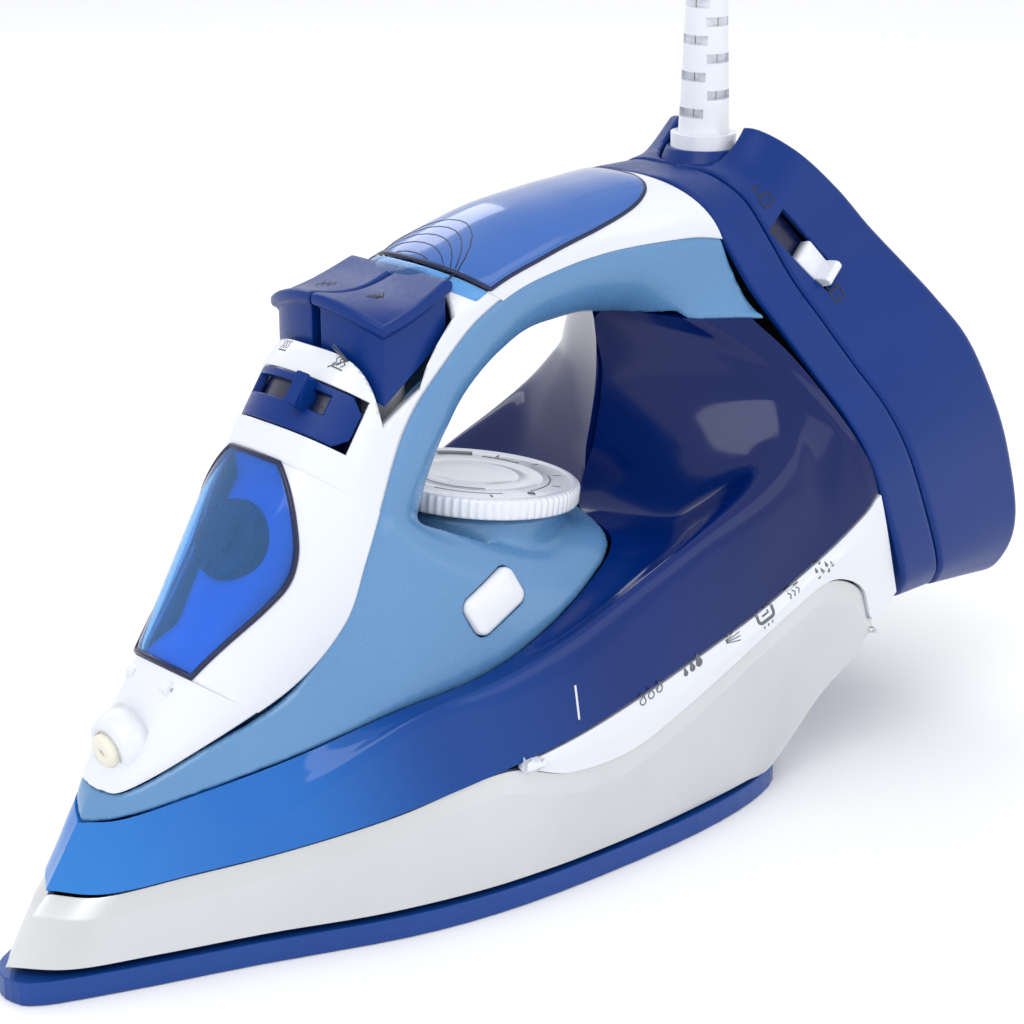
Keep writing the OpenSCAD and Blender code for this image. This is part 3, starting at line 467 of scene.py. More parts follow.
def fill_ends(obj):
    """Closes the open ends of a mesh and turns its faces outwards."""
    work = bmesh.new()
    work.from_mesh(obj.data)
    rim = [e for e in work.edges if e.is_boundary]
    if rim:
        bmesh.ops.holes_fill(work, edges=rim)
    bmesh.ops.recalc_face_normals(work, faces=work.faces)
    work.to_mesh(obj.data)
    work.free()
    obj.data.polygons.foreach_set("use_smooth", [True] * len(obj.data.polygons))
    return obj


def straight(name, low_ring, high_ring):
    """A solid between two outlines with as many points."""
    n = len(low_ring)
    faces = [list(range(n))[::-1], list(range(n, 2 * n))] + ring_faces(2, n)
    return fill_ends(make(name, low_ring + high_ring, faces))


def prism(name, outline, low, high, matrix):
    """A straight solid over an outline of [x, y], in local millimetres."""
    rings = [[[x, y, z] for x, y in outline] for z in (low, high)]
    return placed(straight(name, *rings), matrix)


def rounded(half_x, half_y, radius, corner=6):
    """Outline of a rectangle with round corners."""
    out = []
    for sx, sy, start in ((1, 1, 0), (-1, 1, 90), (-1, -1, 180), (1, -1, 270)):
        for k in range(corner + 1):
            a = math.radians(start + 90 * k / corner)
            out.append([sx * (half_x - radius) + radius * math.cos(a),
                        sy * (half_y - radius) + radius * math.sin(a)])
    return out


# ---------- control nets, as in the CAD model ----------

# Lower body: each row runs up from the soleplate over the skirt, the white band and the tank
HULL = table("""
    0.7 0 8.5  12.6 0 23.8  13.1 0 24.4  17 0 30  20.5 0 35  23.3 0 39.2
    12 11.4 8.2  22 12.6 24.2  22.4 12.4 24.8  26 11.6 32  28 10.8 37  30 10 41.5
    32 19.6 8  43 20.6 25.5  43.3 20.5 26  45 20 34  45.5 19 40  46 18 45.5
    58 29.6 8  65 30.4 28  65.3 30.3 28.5  68 29.6 40  69.5 27.6 45.5  71 25 50
    84 40.6 7.8  90 40.6 32.2  90.2 40.5 32.7  96 40 54.5  95.5 37 56.3  95 32.5 56.5
    110 48 7.6  118 49.6 38.2  118.3 49.5 39  121 46 60.5  121 41.5 60  121 36.5 60
    132 51.4 7.5  137 53 33.3  140 53 43  142 48.5 66.5  141 43.5 65  140 37.8 66
    153 52.8 7.4  158 55 33.6  162 55 48.5  165 51 76  163 44 73.5  160 35.5 74.5
    174 53 7.3  180 56 41  184 56 54.5  188 52.5 85.5  184 41 80  178 26 80.5
    193 52.2 7.2  202 57.2 50.6  205 57 61  207 52.5 93  199 32 85  190 0 82
    209 51 7.2  219 58 58  221 57.7 67.5  222 51.5 100  209 33 100  196 0 98
    222 49 7.2  230 58.6 62  234 58.2 73  229.5 49.5 106  216 31 113  199 0 118
    236 53.5 25.5  239 58.6 61  245 58.5 78.5  237 52.5 105  222 36 121  197 0 135.5
    247 56 35  248 58.2 55.5  249 58.6 81  240.5 55 103  227 41 122  210 22 135.5
    254.2 57 42.6  254.6 57.2 44.5  251 58.6 83  243 56 101.5  230.5 43 122.5  219 30 135.5
    268 55 48.5  268 55 49.5  252.7 58.8 84  245 57 100  234 45 123  227.8 37 135.5""", 6, 3)
# Saddle: each row runs up from the tank to the handle
SADDLE = table("""
    23.3 0 39.2  24.8 0 41.8  26.4 0 44.4  28 0 46.8
    30 10 41.5  30.5 9.7 43.5  31 9.2 45.5  31.5 8.5 47.6
    46 18 45.5  46.5 17.2 48.5  47 16.3 51.5  47.5 15.2 54.5
    71 25 50  71.8 23.6 55  72.8 21.9 60  74 20.2 65
    95 32.5 56.5  94 29.5 67  93.2 26.8 78.5  92.8 25 90
    121 36.5 60  116 32.5 74  109 29 90  102 25.2 104
    140 37.8 66  135 33.5 77  129 29 88  120 22 97
    160 35.5 74.5  157 31.5 79  153 28.5 82.5  147 25.5 85.5
    178 26 80.5  175.5 24 82.5  172.5 21.8 84  169 19.7 85.5
    190 0 82  186 0 83.8  182 0 85  178 0 85.5""", 4, 3)
# Loop of front, neck and handle: each row has the ridge, the colours' parting line and the inner line
LOOP = table("""
    28 0 47.2  28.3 2 46.9  30 0 41
    30.5 0 49.8  31.5 8.5 47.6  40 0 42
    38.6 0 61  47.5 15.2 54.5  60 0 46
    52 0 81  74 20.2 65  92 0 58
    63.3 0 97  88 24.2 79  113 0 80
    72.3 0 110.2  94.5 25.2 94  121.5 0 98
    79.8 0 121.1  100.5 24.5 106  126.5 0 110
    87 0 131.6  107 23 117  131 0 119
    94.5 0 141  115 21.5 127.5  137 0 126
    104 0 147.5  125 21 137  144 0 131.5
    118 0 154.5  137 20.3 146.5  152 0 135
    137 0 163.5  151 19.5 152.5  161 0 137
    157 0 169.5  168 19 155.5  172 0 137.6
    178 0 172  182 19 156.7  184 0 137.8
    192 0 172.8  193 20 157  197 0 136
    200 0 173  203 22 157  210 22 136
    205.5 0 172.6  211 25 157  219 30 136
    210.5 0 172  218.2 28.7 156  227.8 37 136""", 3, 3)
LOOP_END = 16.94
# The lid starts at LID_FROM, an [x, z] of the ridge; its half width is evened out over a window of its run
LID_FROM = np.array([45.6, 71.3])
LID_LENGTH = 65
LID_RUN = np.linspace(0, LID_LENGTH, 131)
LID_WINDOW = 31
LID_HALF = np.interp(LID_RUN, [0, 10, 20, 30, 38, 48, 56, 62, 65],
                     [10.5, 13, 16.5, 19.8, 21.4, 18.8, 14, 8, 3])
LID_HALF = np.convolve(np.pad(LID_HALF, LID_WINDOW // 2, mode="reflect", reflect_type="odd"),
                       np.full(LID_WINDOW, 1 / LID_WINDOW), "valid")
# First and last t of the lid and of the grip insert
LID_T = (2.68, 5.93)
INSERT_T = (10.62, 16.2)
# Clearance round the lid and the thumb buttons
GAP = 0.35


def section_power(ts):
    """Exponent of the loop's oval section: squarer along the thumb buttons."""
    return np.interp(ts, [6, 7.4, 10, 11.6], [0.83, 0.66, 0.66, 0.83])[:, None]


def loop_points(ts, qs):
    """q runs from the ridge (0) over the parting line (1) to the inner line (2), row by row."""
    ts = np.asarray(ts, float)
    qs = np.asarray(qs, float)
    rows = np.einsum("ti,ijk->tjk", weights(len(LOOP), ts), LOOP)[:, :, None, :]
    ridge, parting, inner = rows[:, 0], rows[:, 1], rows[:, 2]
    power = section_power(ts)

    def bent(x):
        return np.sign(x) * np.abs(x) ** power

    a = qs * math.pi / 2
    s, c = bent(np.sin(a)), bent(np.cos(a))
    over = ridge + (parting - ridge) * (1 - c)[..., None]
    over[..., 1] = parting[..., 1] * s
    s, c = bent(np.abs(np.sin(a - math.pi / 2))), bent(np.cos(a - math.pi / 2))
    under = parting + (inner - parting) * s[..., None]
    low = np.maximum(inner[..., 1], 0)
    under[..., 1] = low + (parting[..., 1] - low) * c
    return np.where((qs <= 1)[..., None], over, under)


def loop_normals(ts, qs, e=0.02):
    """Unit normals of the loop that point outwards; upright on the middle plane."""
    ts = np.asarray(ts, float)
    along = loop_points(ts + e, qs) - loop_points(ts - e, qs)
    across = loop_points(ts, qs + e) - loop_points(ts, qs - e)
    n = np.cross(along, across)
    n[loop_points(ts, qs)[..., 1] < 0.01, 1] = 0
    return n / np.maximum(np.linalg.norm(n, axis=-1, keepdims=True), 1e-9)


def lid_q(ts, extra=0.0):
    """Edge of the lid as a share of the ridge-to-parting arc."""
    ts = np.asarray(ts, float)
    rows = np.einsum("ti,ijk->tjk", weights(len(LOOP), ts), LOOP)
    ridge = rows[:, 0, [0, 2]]
    s = np.linalg.norm(ridge - LID_FROM, axis=1) * np.where(ridge[:, 1] > LID_FROM[1], 1, -1)
    half = np.where((s < -extra) | (s > LID_LENGTH + extra), 0, np.interp(s, LID_RUN, LID_HALF) + extra)
    share = np.minimum(half / rows[:, 1, 1], 0.999)
    return np.arcsin(share ** (1 / section_power(ts)[:, 0])) / (math.pi / 2)


def insert_q(ts):
    """Edge of the grip insert, in the same way."""
    f = (np.asarray(ts, float) - INSERT_T[0]) / (INSERT_T[1] - INSERT_T[0])
    return np.where((f < 0) | (f > 1), 0, 0.86 * (1 - np.clip(f, 0, 1) ** 2.2) ** 0.75)


def spread(start, end, n):
    """Rows of n + 1 parameters from start to end, where either may differ from row to row."""
    start, end = np.broadcast_arrays(np.asarray(start, float), np.asarray(end, float))
    return start[:, None] + (end - start)[:, None] * np.linspace(0, 1, n + 1)[None, :]


# The docking plane leans back by DOCK_SLOPE; PEAR holds half of the section on it as [y, z]
DOCK_SLOPE = 0.48
PEAR_TOP, PEAR_MIDDLE, PEAR_WIDE, PEAR_TALL = 172, 107.5, 59, 64.5
COLLAR_X = 210.8
MODULE_X = 227.7
PEAR = table("""
    0 172  14 171.3  24 166  28.8 156  33.5 143  40.5 131  47.5 119  54.5 108
    58 97  59 84  58.2 60  55 50  47 44.5  25 43  0 43""", 2)
HEEL = table("""
    246 0 178  244 14 182  252 24 176  263 30 165  274 33.5 153  283 39.5 142  290 46 132  299 52 119
    307 56.5 101  314 58 84  320.6 58 62  322.2 54 48  320.6 46 40  319 25 37.5  318 0 37.5""", 3)


def pear_ring(x, inset):
    """Half of the pear-shaped section on the docking plane, moved in by inset."""
    half = spline(PEAR, np.linspace(0, len(PEAR) - 1, 113))
    y = half[:, 0] * (PEAR_WIDE - inset) / PEAR_WIDE
    z = PEAR_MIDDLE + (half[:, 1] - PEAR_MIDDLE) * (PEAR_TALL - inset) / PEAR_TALL
    return np.stack([x + DOCK_SLOPE * (PEAR_TOP - z), np.maximum(y, 0), z], -1)


DIAL_C = (151.9, 0, 98.8)
DIAL_TILT = 6.9
LEVER_C = (107.8, 0, 119.4)
RIDGE_LEAN = 34.5
GUARD_BASE = (240, 0, 171)
on_dial = tilted(DIAL_C, DIAL_TILT)
on_lever = tilted(LEVER_C, RIDGE_LEAN)
on_nozzle = at_frame((31, 0, 54.8), (0, 1, 0), (-0.98, 0, -0.2))
on_clean = at_frame((129.4, -33.1, 77.4), (0.92, 0.07, 0.38), (-0.05, -0.95, 0.29))
on_slot = at_frame((247.2, -32.1, 149.4), (0.63, -0.22, -0.74), (-0.1, -0.95, 0.29))


# ---------- lower body ----------

# The skirt's upper edge rolls inwards over a strip STRIP wide; each column of the strip has its place
# along it and its depth
STRIP = 5.8
BELOW = 22
STRIP_PLACES = np.array([0, 0.09, 0.28, 0.5, 0.72, 0.91, 1])
STRIP_DEPTHS = [0, 0.1, 0.28, 0.5, 0.72, 0.92, 1.05]


def rolled_rows(grid):
    """Each row of points again, with BELOW points up to the strip and the rest on it."""
    out = []
    for row in grid:
        run = np.concatenate([[0], np.cumsum(np.linalg.norm(np.diff(row, axis=0), axis=1))])
        strip = min(STRIP, 0.55 * run[-1])
        at = np.concatenate([np.linspace(0, run[-1] - 1.07 * strip, BELOW),
                             run[-1] - strip * (1 - STRIP_PLACES)])
        out.append(np.stack([np.interp(at, run, row[:, k]) for k in range(3)], -1))
    return np.array(out)


skirt = rolled_rows(surface(HULL, np.linspace(0, 14, 161), np.linspace(0, 1, 90)))
out_of = normals(skirt, -1)
skirt = sunk(skirt, out_of, np.array([0] * BELOW + STRIP_DEPTHS)[None, :, None])
heat_skirt = soften(skin("silver_skirt", skirt, out_of, 1.6, -1), *SHELL_EDGE)
dress(heat_skirt, "iron", SILVER, "silver_plastic", "heat_skirt")

band = surface(HULL, np.linspace(5.2, 14.95, 150), np.linspace(1.03, 1.98, 26))
rear_band = soften(skin("white_band", band, normals(band, -1), 1.8, -1), *SHELL_EDGE)
dress(rear_band, "iron", WHITE, "white_plastic", "rear_band")

tank = surface(HULL, np.linspace(0, 14.5, 190), np.linspace(2.03, 4.96, 60))
water_tank = soften(skin("water_tank_skin", tank, normals(tank, -1), 2, -1), *SHELL_EDGE)
dress(water_tank, "iron", TANK, "tank_blue", "water_tank")


# ---------- saddle: its flanks, the underside of the handle and the dial's boss in one skin ----------

# How far an edge tucks in under its neighbour, and the voxel size of the joined skin, in millimetres
TUCK = 0.9
SADDLE_VOXEL = 0.8
flank_vs = np.linspace(-0.1, 3.1, 40)
flank = surface(SADDLE, np.linspace(0, 9, 120), flank_vs)
tuck = TUCK * smoothstep((0.06 - flank_vs) / 0.1) + TUCK * smoothstep((flank_vs - 2.96) / 0.1)
flank_out = normals(flank, -1)
saddle = skin("blue_saddle", sunk(flank, flank_out, tuck[None, :, None]), flank_out, 2, -1)

neck_ts = np.linspace(4.4, LOOP_END, 150)
neck_qs = np.concatenate([np.linspace(0.93, 1, 8), np.linspace(1.03, 2, 34)])
tuck = TUCK * smoothstep((1.005 - neck_qs) / 0.03)
neck_qs = np.broadcast_to(neck_qs, (len(neck_ts), len(neck_qs)))
neck_out = loop_normals(neck_ts, neck_qs)
neck = sunk(loop_points(neck_ts, neck_qs), neck_out, tuck[None, :, None])
neck_part = skin("neck_part", neck, neck_out, 2, 1)
boss_part = lathe("boss_part", [[0, -20], [27.5, -20], [26, -16], [25.8, -7], [25.2, -6.3], [0, -6.3]],
                  on_dial, 96)
bpy.context.view_layer.update()
joined = bmesh.new()
for part in (saddle, neck_part, boss_part):
    joined.from_mesh(part.data)
joined.to_mesh(saddle.data)
joined.free()
for part in (neck_part, boss_part):
    bpy.data.objects.remove(part)
remesh = saddle.modifiers.new("one skin", "REMESH")
remesh.mode = "VOXEL"
remesh.voxel_size = SADDLE_VOXEL * MM
remesh.use_smooth_shade = True
blended = saddle.modifiers.new("blend", "SMOOTH")
blended.factor = 0.5
blended.iterations = 20
applied(saddle)
saddle.data.polygons.foreach_set("use_smooth", [True] * len(saddle.data.polygons))
cut(saddle, lathe("dial_room", [[0, -6.05], [29.7, -6.05], [29.7, 6], [0, 6]], on_dial, 96),
    prism("clean_room", rounded(9.7, 6, 3.5), -2.6, 8, on_clean))
dress(saddle, "iron", LIGHT_BLUE, "light_blue_plastic", "saddle_shell")


# ---------- white shell ----------

shell_ts = np.sort(np.concatenate([
    np.linspace(0, LOOP_END, 200), [INSERT_T[0] - 0.003, INSERT_T[0] + 0.001],
    [LID_T[0] - 0.034, LID_T[0] - 0.03, LID_T[1] + 0.03, LID_T[1] + 0.034]]))
in_lid = (shell_ts > LID_T[0] - 0.032) & (shell_ts < LID_T[1] + 0.032)
top_q = np.maximum(np.where(in_lid, lid_q(shell_ts, GAP), 0), insert_q(shell_ts))
side_q = np.concatenate([np.linspace(0, 0.95, 26), [0.97, 0.982]])
shell_qs = top_q[:, None] + (1 - top_q[:, None]) * side_q[None, :]
handle_shell = skin("white_front_and_handle", loop_points(shell_ts, shell_qs),
                    loop_normals(shell_ts, shell_qs), 2, 1)

BUTTON_HALF, BUTTON_FRONT, BUTTON_REAR = 22.2, 98.7, 128.4
BUTTON_CROWN = [157.3, 156.9, 156.9, 157.6, 158.9]
BUTTON_SWEEP = 4.8
ROOM_FLOOR, FLOOR_RISE = 126.9, 13.5


def button_plan(s, t, grow=0.0):
    """Place of a button's point: s runs from its front to its rear, t from the middle to the side."""
    front = BUTTON_FRONT + BUTTON_SWEEP * abs(t) ** 2.6 - grow
    return front + (BUTTON_REAR + grow - front) * s, (BUTTON_HALF - 2.8 * s + grow) * t


def button_height(s, t):
    """Height of a button's top: a crown that falls off to the front corners."""
    crown = spline([[z] for z in BUTTON_CROWN], [4 * s])[0][0]
    return crown - 5.4 * t * t * (1 - s) ** 1.5


hole = [button_plan(0, t, GAP) for t in np.linspace(-1, 1, 25)]
hole += [button_plan(1, 1, GAP), button_plan(1, -1, GAP)]
front = BUTTON_FRONT + BUTTON_SWEEP
floor_slope = FLOOR_RISE / (BUTTON_REAR - front)
rings = [[[x, y, ROOM_FLOOR + floor_slope * (x - front) + lift] for x, y in hole] for lift in (0, 50)]
button_room, flank_room = straight("button_room", *rings), straight("flank_room", *rings)
cut(saddle, flank_room)

# The lever's band: its height, half its angle in degrees and its radius
BAND_H, BAND_ANGLE, BAND_R = 13.4, 54, 24.9


def arc(radius, low, high, count):
    """Outline of an arc round the lever's axis, on the side of the nose."""
    return [[-radius * math.cos(a), -radius * math.sin(a)]
            for a in np.radians(np.linspace(low, high, count))]


reach = BAND_ANGLE + 1.5
lever_room = prism("lever_room", arc(40, -reach, reach, 40) + arc(21.4, reach, -reach, 40),
                   -BAND_H / 2 - 0.4, BAND_H / 2 + 0.4, on_lever)
cut(handle_shell, button_room, lever_room)
hood = lathe("nozzle_hood", [[8.9, -9.5], [8.5, -6], [8, -3.4], [7.4, -2.4], [6.6, -2], [4.7, -2],
                             [4.7, -7]], on_nozzle, 48)
dress(hood, "iron", WHITE, "white_plastic")
dress(handle_shell, "iron", WHITE, "white_plastic", "handle_shell")

nozzle = lathe("spray_nozzle_tip", [[4.5, -12], [4.5, -0.9], [4.3, -0.3], [3.7, 0], [1.2, 0], [0.85, -0.3],
                                    [0.8, -2], [0, -2]], on_nozzle, 48)
dress(nozzle, "iron", CREAM, "white_plastic", "spray_nozzle")


# ---------- filler lid ----------

def edge_rise(m, n, width):
    """0 at the outer edges of a grid and 1 from width points inwards."""
    rows, columns = np.arange(m), np.arange(n)[::-1]
    rise = np.minimum(rows, rows[::-1])[:, None] / width
    return np.minimum(1, np.minimum(rise, columns[None, :] / width))[..., None]


def loop_pad(name, ts, edge_q, columns, lift, width, wall):
    """A pad laid over the loop as far as edge_q, lifted in a rounded step that is width points wide."""
    qs = spread(0 * ts, edge_q, columns)
    out = loop_normals(ts, qs)
    pad = loop_points(ts, qs) + out * (lift * edge_rise(len(ts), columns + 1, width) ** 0.5)
    return soften(skin(name, pad, out, wall, 1), *SHELL_EDGE)


def seam(name, half, radius):
    """A closed round bar, drawn as its +y half in millimetres and mirrored."""
    points = np.vstack([half, (half * [1, -1, 1])[::-1][1:-1]])
    sides = 8
    verts = []
    for before, p, after in zip(np.roll(points, 1, axis=0), points, np.roll(points, -1, axis=0)):
        lean = Vector(after - before).normalized()
        a = lean.cross(Vector((0.31, 0.17, 0.93))).normalized()
        b = lean.cross(a)
        for turn in 2 * math.pi * np.arange(sides) / sides:
            verts.append(list(Vector(p) + (a * math.cos(turn) + b * math.sin(turn)) * radius))
    return fill_ends(make(name, verts, ring_faces(len(points), sides, True)))


def loop_row(t, qs):
    """Points across the loop at one t."""
    return loop_points([t], np.asarray(qs)[None, :])[0]


lid_ts = np.linspace(*LID_T, 60)
rim_q = lid_q(lid_ts)
filler_lid = loop_pad("filler_lid_shell", lid_ts, rim_q, 24, 0.45, 2, 1.6)
dress(filler_lid, "filler_lid", LID, "lid_blue", "filler_lid")
side_line = loop_points(lid_ts, rim_q[:, None])[:, 0]
low_line = loop_row(LID_T[0], np.linspace(0, rim_q[0], 9))
high_line = loop_row(LID_T[1], np.linspace(rim_q[-1], 0, 5))
gasket = seam("lid_gasket", np.vstack([low_line[:-1], side_line, high_line[1:]]), 0.75)
dress(gasket, "filler_lid", DEEP_BLUE_AND_SHADE, "black_rubber")

# The well under the lid: a shelf round its edge and a deeper floor
WELL_SHELF, WELL_DEPTH = 2.2, 4.5
well_ts = np.linspace(LID_T[0] - 0.02, LID_T[1] + 0.02, 40)
well_qs = spread(0 * well_ts, lid_q(well_ts) + 0.03, 16)
well_out = loop_normals(well_ts, well_qs)
from_end = np.minimum(np.arange(40), np.arange(40)[::-1])
depth = WELL_SHELF + WELL_DEPTH * smoothstep(from_end / 6)[:, None]
well = sunk(loop_points(well_ts, well_qs), well_out, depth[..., None])
dress(skin("filler_well", well, well_out, 0.8, 1), "iron", WELL, "lid_blue")


# ---------- grip insert ----------

insert_ts = np.concatenate([[INSERT_T[0] + 0.1, INSERT_T[0] + 0.16], np.linspace(INSERT_T[0] + 0.25, 16, 70)])
grip = loop_pad("grip_insert_pad", insert_ts, insert_q(insert_ts) - 0.012, 26, 0.5, 3, 1.8)
dress(grip, "iron", GRIP, "grip_blue", "grip_insert")

rim_ts = np.linspace(INSERT_T[0] + 0.06, INSERT_T[1] - 0.02, 90)
rim_q = insert_q(rim_ts) - 0.004
rim = loop_points(rim_ts, rim_q[:, None])[:, 0]
front_rim = loop_row(rim_ts[0], np.linspace(0, 1, 12) * rim_q[0])
dress(seam("grip_seam", np.vstack([front_rim[:-1], rim]), 0.55), "iron", DEEP_BLUE_AND_SHADE, "black_rubber")

# A raised crescent across the front of the insert
crest_ts = np.linspace(10.36, 10.62, 6)
crest_qs = spread(0 * crest_ts, 0.86, 26)
crest_out = loop_normals(crest_ts, crest_qs)
crest_lift = 0.35 * np.array([0.2, 0.8, 1, 1, 0.8, 0.2])[:, None, None]
crest = loop_points(crest_ts, crest_qs) + crest_out * crest_lift
crescent = soften(skin("grip_crescent", crest, crest_out, 1.4, 1), 0.25, 50)
dress(crescent, "iron", LID, "lid_blue")


# ---------- thumb buttons ----------

def thumb_button(name, side):
    """A concave pad with a rounded lip that overhangs its wall."""
    start, inset = 0.012, 1.3
    centre, reach = np.array([115, 10.4]), np.array([14.8, 10.6])
    m, n = 26, 20
    pad = np.zeros((m + 1, n + 1, 3))
    under = np.zeros((m + 1, n + 1))
    for i in range(m + 1):
        for j in range(n + 1):
            s, t = i / m, start + (1 - start) * j / n
            hollow = math.sin(math.pi * s) * (0.9 * (1 - t**4) + 0.3)
            pad[i, j] = *button_plan(s, t), button_height(s, t) - hollow
            under[i, j] = 137 + FLOOR_RISE * s - 6 * t * t
    rim = [(i, 0) for i in range(m + 1)] + [(m, j) for j in range(1, n + 1)]
    rim += [(i, n) for i in range(m - 1, -1, -1)] + [(0, j) for j in range(n - 1, 0, -1)]
    outer = np.array([pad[place] for place in rim])

    def ring(step_in, drop):
        out = outer.copy()
        out[:, :2] = centre + (outer[:, :2] - centre) * (1 - step_in / reach)
        out[:, 2] -= drop
        return out

    inner = pad.copy()
    inner[..., :2] = centre + (pad[..., :2] - centre) * (1 - inset / reach)
    # Steps of the lip, each [in from the outline, down], and the wall below the last one
    rings = [ring(*step) for step in ((0.55, 0.12), (0.12, 0.55), (0, 1.2), (0.02, 2.2), (0.3, 3), (1.1, 3.5),
                                      (1.5, 4.2))]
    wall = rings[-1].copy()
    wall[:, 2] = np.minimum([under[place] for place in rim], wall[:, 2] - 0.5)
    verts = np.vstack([inner.reshape(-1, 3), *rings, wall])
    first, k = pad.size // 3, len(rim)
    last = [i * (n + 1) + j for i, j in rim]
    now = list(range(first, first + k))
    faces = grid_faces(m + 1, n + 1)
    faces += [[last[q], last[(q+1) % k], now[(q+1) % k], now[q]] for q in range(k)]
    faces += [[q + first for q in face] for face in ring_faces(len(rings) + 1, k)]
    faces.append(list(range(len(verts) - k, len(verts))))
    return soften(fill_ends(make(name, verts * [1, side, 1], faces)), 0.3, 35)


for name, side in (("spray_button", -1), ("steam_button", 1)):
    dress(thumb_button(name + "_pad", side), name, NAVY, "navy_plastic", name)


# ---------- steam lever ----------

# The band narrows towards its ends, and has a slot for the pointer fin in its upper half
angles = np.arange(-BAND_ANGLE, BAND_ANGLE + 1, 2).astype(float)
band_top = 6.7 - 3.2 * np.maximum(0, np.abs(angles) - 46) / 8
levels = np.array([-1, -0.5, -0.06, 0.3, 0.69, 0.85, 1])
SLOT_ANGLE, SLOT_LOW, SLOT_HIGH = 34, -0.4, 4.6
grid = [[[-BAND_R * math.cos(a), -BAND_R * math.sin(a), top * v] for v in levels]
        for a, top in zip(np.radians(angles), band_top)]
bezel = make("lever_band", np.array(grid).reshape(-1, 3), grid_faces(len(angles), len(levels)))


def in_slot(face):
    middle = face.calc_center_median() / MM
    angle = math.degrees(math.atan2(middle.y, -(middle.x + MID_X)))
    return SLOT_LOW < middle.z < SLOT_HIGH and abs(angle) < SLOT_ANGLE


work = bmesh.new()
work.from_mesh(bezel.data)
bmesh.ops.delete(work, geom=[f for f in work.faces if in_slot(f)], context="FACES")
work.faces.ensure_lookup_table()
face = work.faces[0]
outward = face.calc_center_median() + Vector((MID_X * MM, 0, 0))
if outward.dot(face.normal) < 0:
    bmesh.ops.reverse_faces(work, faces=work.faces)
work.to_mesh(bezel.data)
work.free()
placed(bezel, on_lever)
soften(thicken(bezel, 2.3), 0.5, 40, 3)
dress(bezel, "iron", NAVY, "navy_plastic", "lever_bezel")

# A dark sheet behind the lever's slot: painted shade where the inside of the iron shows through.
slot_back = prism("lever_slot_shade_sheet", arc(22.2, -46, 46, 30) + arc(21.2, 46, -46, 30), -4, 6, on_lever)
dress(soften(slot_back, 0.1, 40), "iron", DEEP_BLUE_AND_SHADE, "navy_plastic")

turned = on_lever @ Matrix.Rotation(math.radians(20), 4, "Z")
fin_side = [[22, -1.6], [25.2, -1.5], [27.8, -1], [29.8, 0.4], [30.8, 2.6], [31.1, 5], [30.7, 6.8],
            [29.8, 6.9], [28.6, 5.8], [27, 4.9], [25.2, 4.4], [22, 4.2]]
upright = Matrix(((-1, 0, 0, 0), (0, 0, 1, 0), (0, 1, 0, 0), (0, 0, 0, 1)))
fin = prism("lever_fin", fin_side, -1.7, 1.7, turned @ upright)
soften(fin, 0.7, 35, 3)
dress(fin, "steam_lever", NAVY, "navy_plastic")


# ---------- temperature dial ----------

def knurled_dial():
    """A cap with teeth round its rim and two raised rings on its face."""
    teeth = 84
    count = teeth * 6
    profile = [[0, -0.25], [6, -0.25], [12, -0.25], [12.3, -0.1], [12.7, -0.1], [13, -0.25], [18.5, -0.25],
               [18.8, -0.1], [19.2, -0.1], [19.5, -0.25], [26, -0.25], [26.6, -0.2], [27.4, 0], [28.2, -0.1],
               [28.8, -0.5], [29.2, -1], [29.2, -4.8], [28.9, -5.3], [28.2, -5.5], [0, -5.5]]
    verts = []
    for r, z in profile:
        depth = 0.42 if -5.3 < z < -0.45 and r > 28 else 0
        for k in range(count):
            a = 2 * math.pi * k / count
            dip = depth * (0.5 - 0.5 * math.cos(teeth * a)) ** 0.7
            verts.append([(r - dip) * math.cos(a), (r - dip) * math.sin(a), z])
    faces = [[a, d, c, b] for a, b, c, d in ring_faces(len(profile), count)]
    return placed(fill_ends(make("dial_cap", verts, faces, 0.0005)), on_dial)


dial = knurled_dial()
dress(dial, "temperature_dial", WHITE, "white_plastic", "temperature_dial")
spindle = lathe("dial_spindle", [[0, -67.5], [2.6, -67.5], [3, -67], [3, -5], [0, -5]], on_dial, 32)
dress(spindle, "temperature_dial", NATURAL, "white_plastic")
pointer_dot = lathe("dial_pointer", [[0, 0.1], [0.8, 0.1], [1, 0], [1, -0.4], [0, -0.4]],
                    on_dial @ Matrix.Translation((0, -23, 0)), 24)
dress(pointer_dot, "temperature_dial", GREY, "grey_plastic")


# ---------- self-clean button ----------

def lozenge(name, half_x, half_y, radius, drop, rise, matrix):
    """A button over a rounded outline, with a domed top and a round edge."""
    rows = [(0, drop), (0, rise - 1.1), (0.15, rise - 0.55), (0.5, rise - 0.15), (1.1, rise),
            (3, rise + 0.25)]
    verts = [[x, y, z] for step_in, z in rows
             for x, y in rounded(half_x - step_in, half_y - step_in, max(radius - step_in, 0.4), 8)]
    n = len(verts) // len(rows)
    faces = ring_faces(len(rows), n) + [list(range(n))[::-1], list(range(len(verts) - n, len(verts)))]
    return placed(fill_ends(make(name, verts, faces)), matrix)


clean = lozenge("self_clean_button", 9.2, 5.5, 3, -3.6, 1.0, on_clean)
dress(clean, "clean_button", WHITE, "white_plastic", "clean_button")
stem = lathe("self_clean_stem", [[0, -15], [1.8, -15], [2, -14.6], [2, -3], [0, -3]], on_clean, 24)
dress(stem, "clean_button", NATURAL, "white_plastic")


# ---------- collar, power module and heel ----------

span = MODULE_X - 0.5 - COLLAR_X
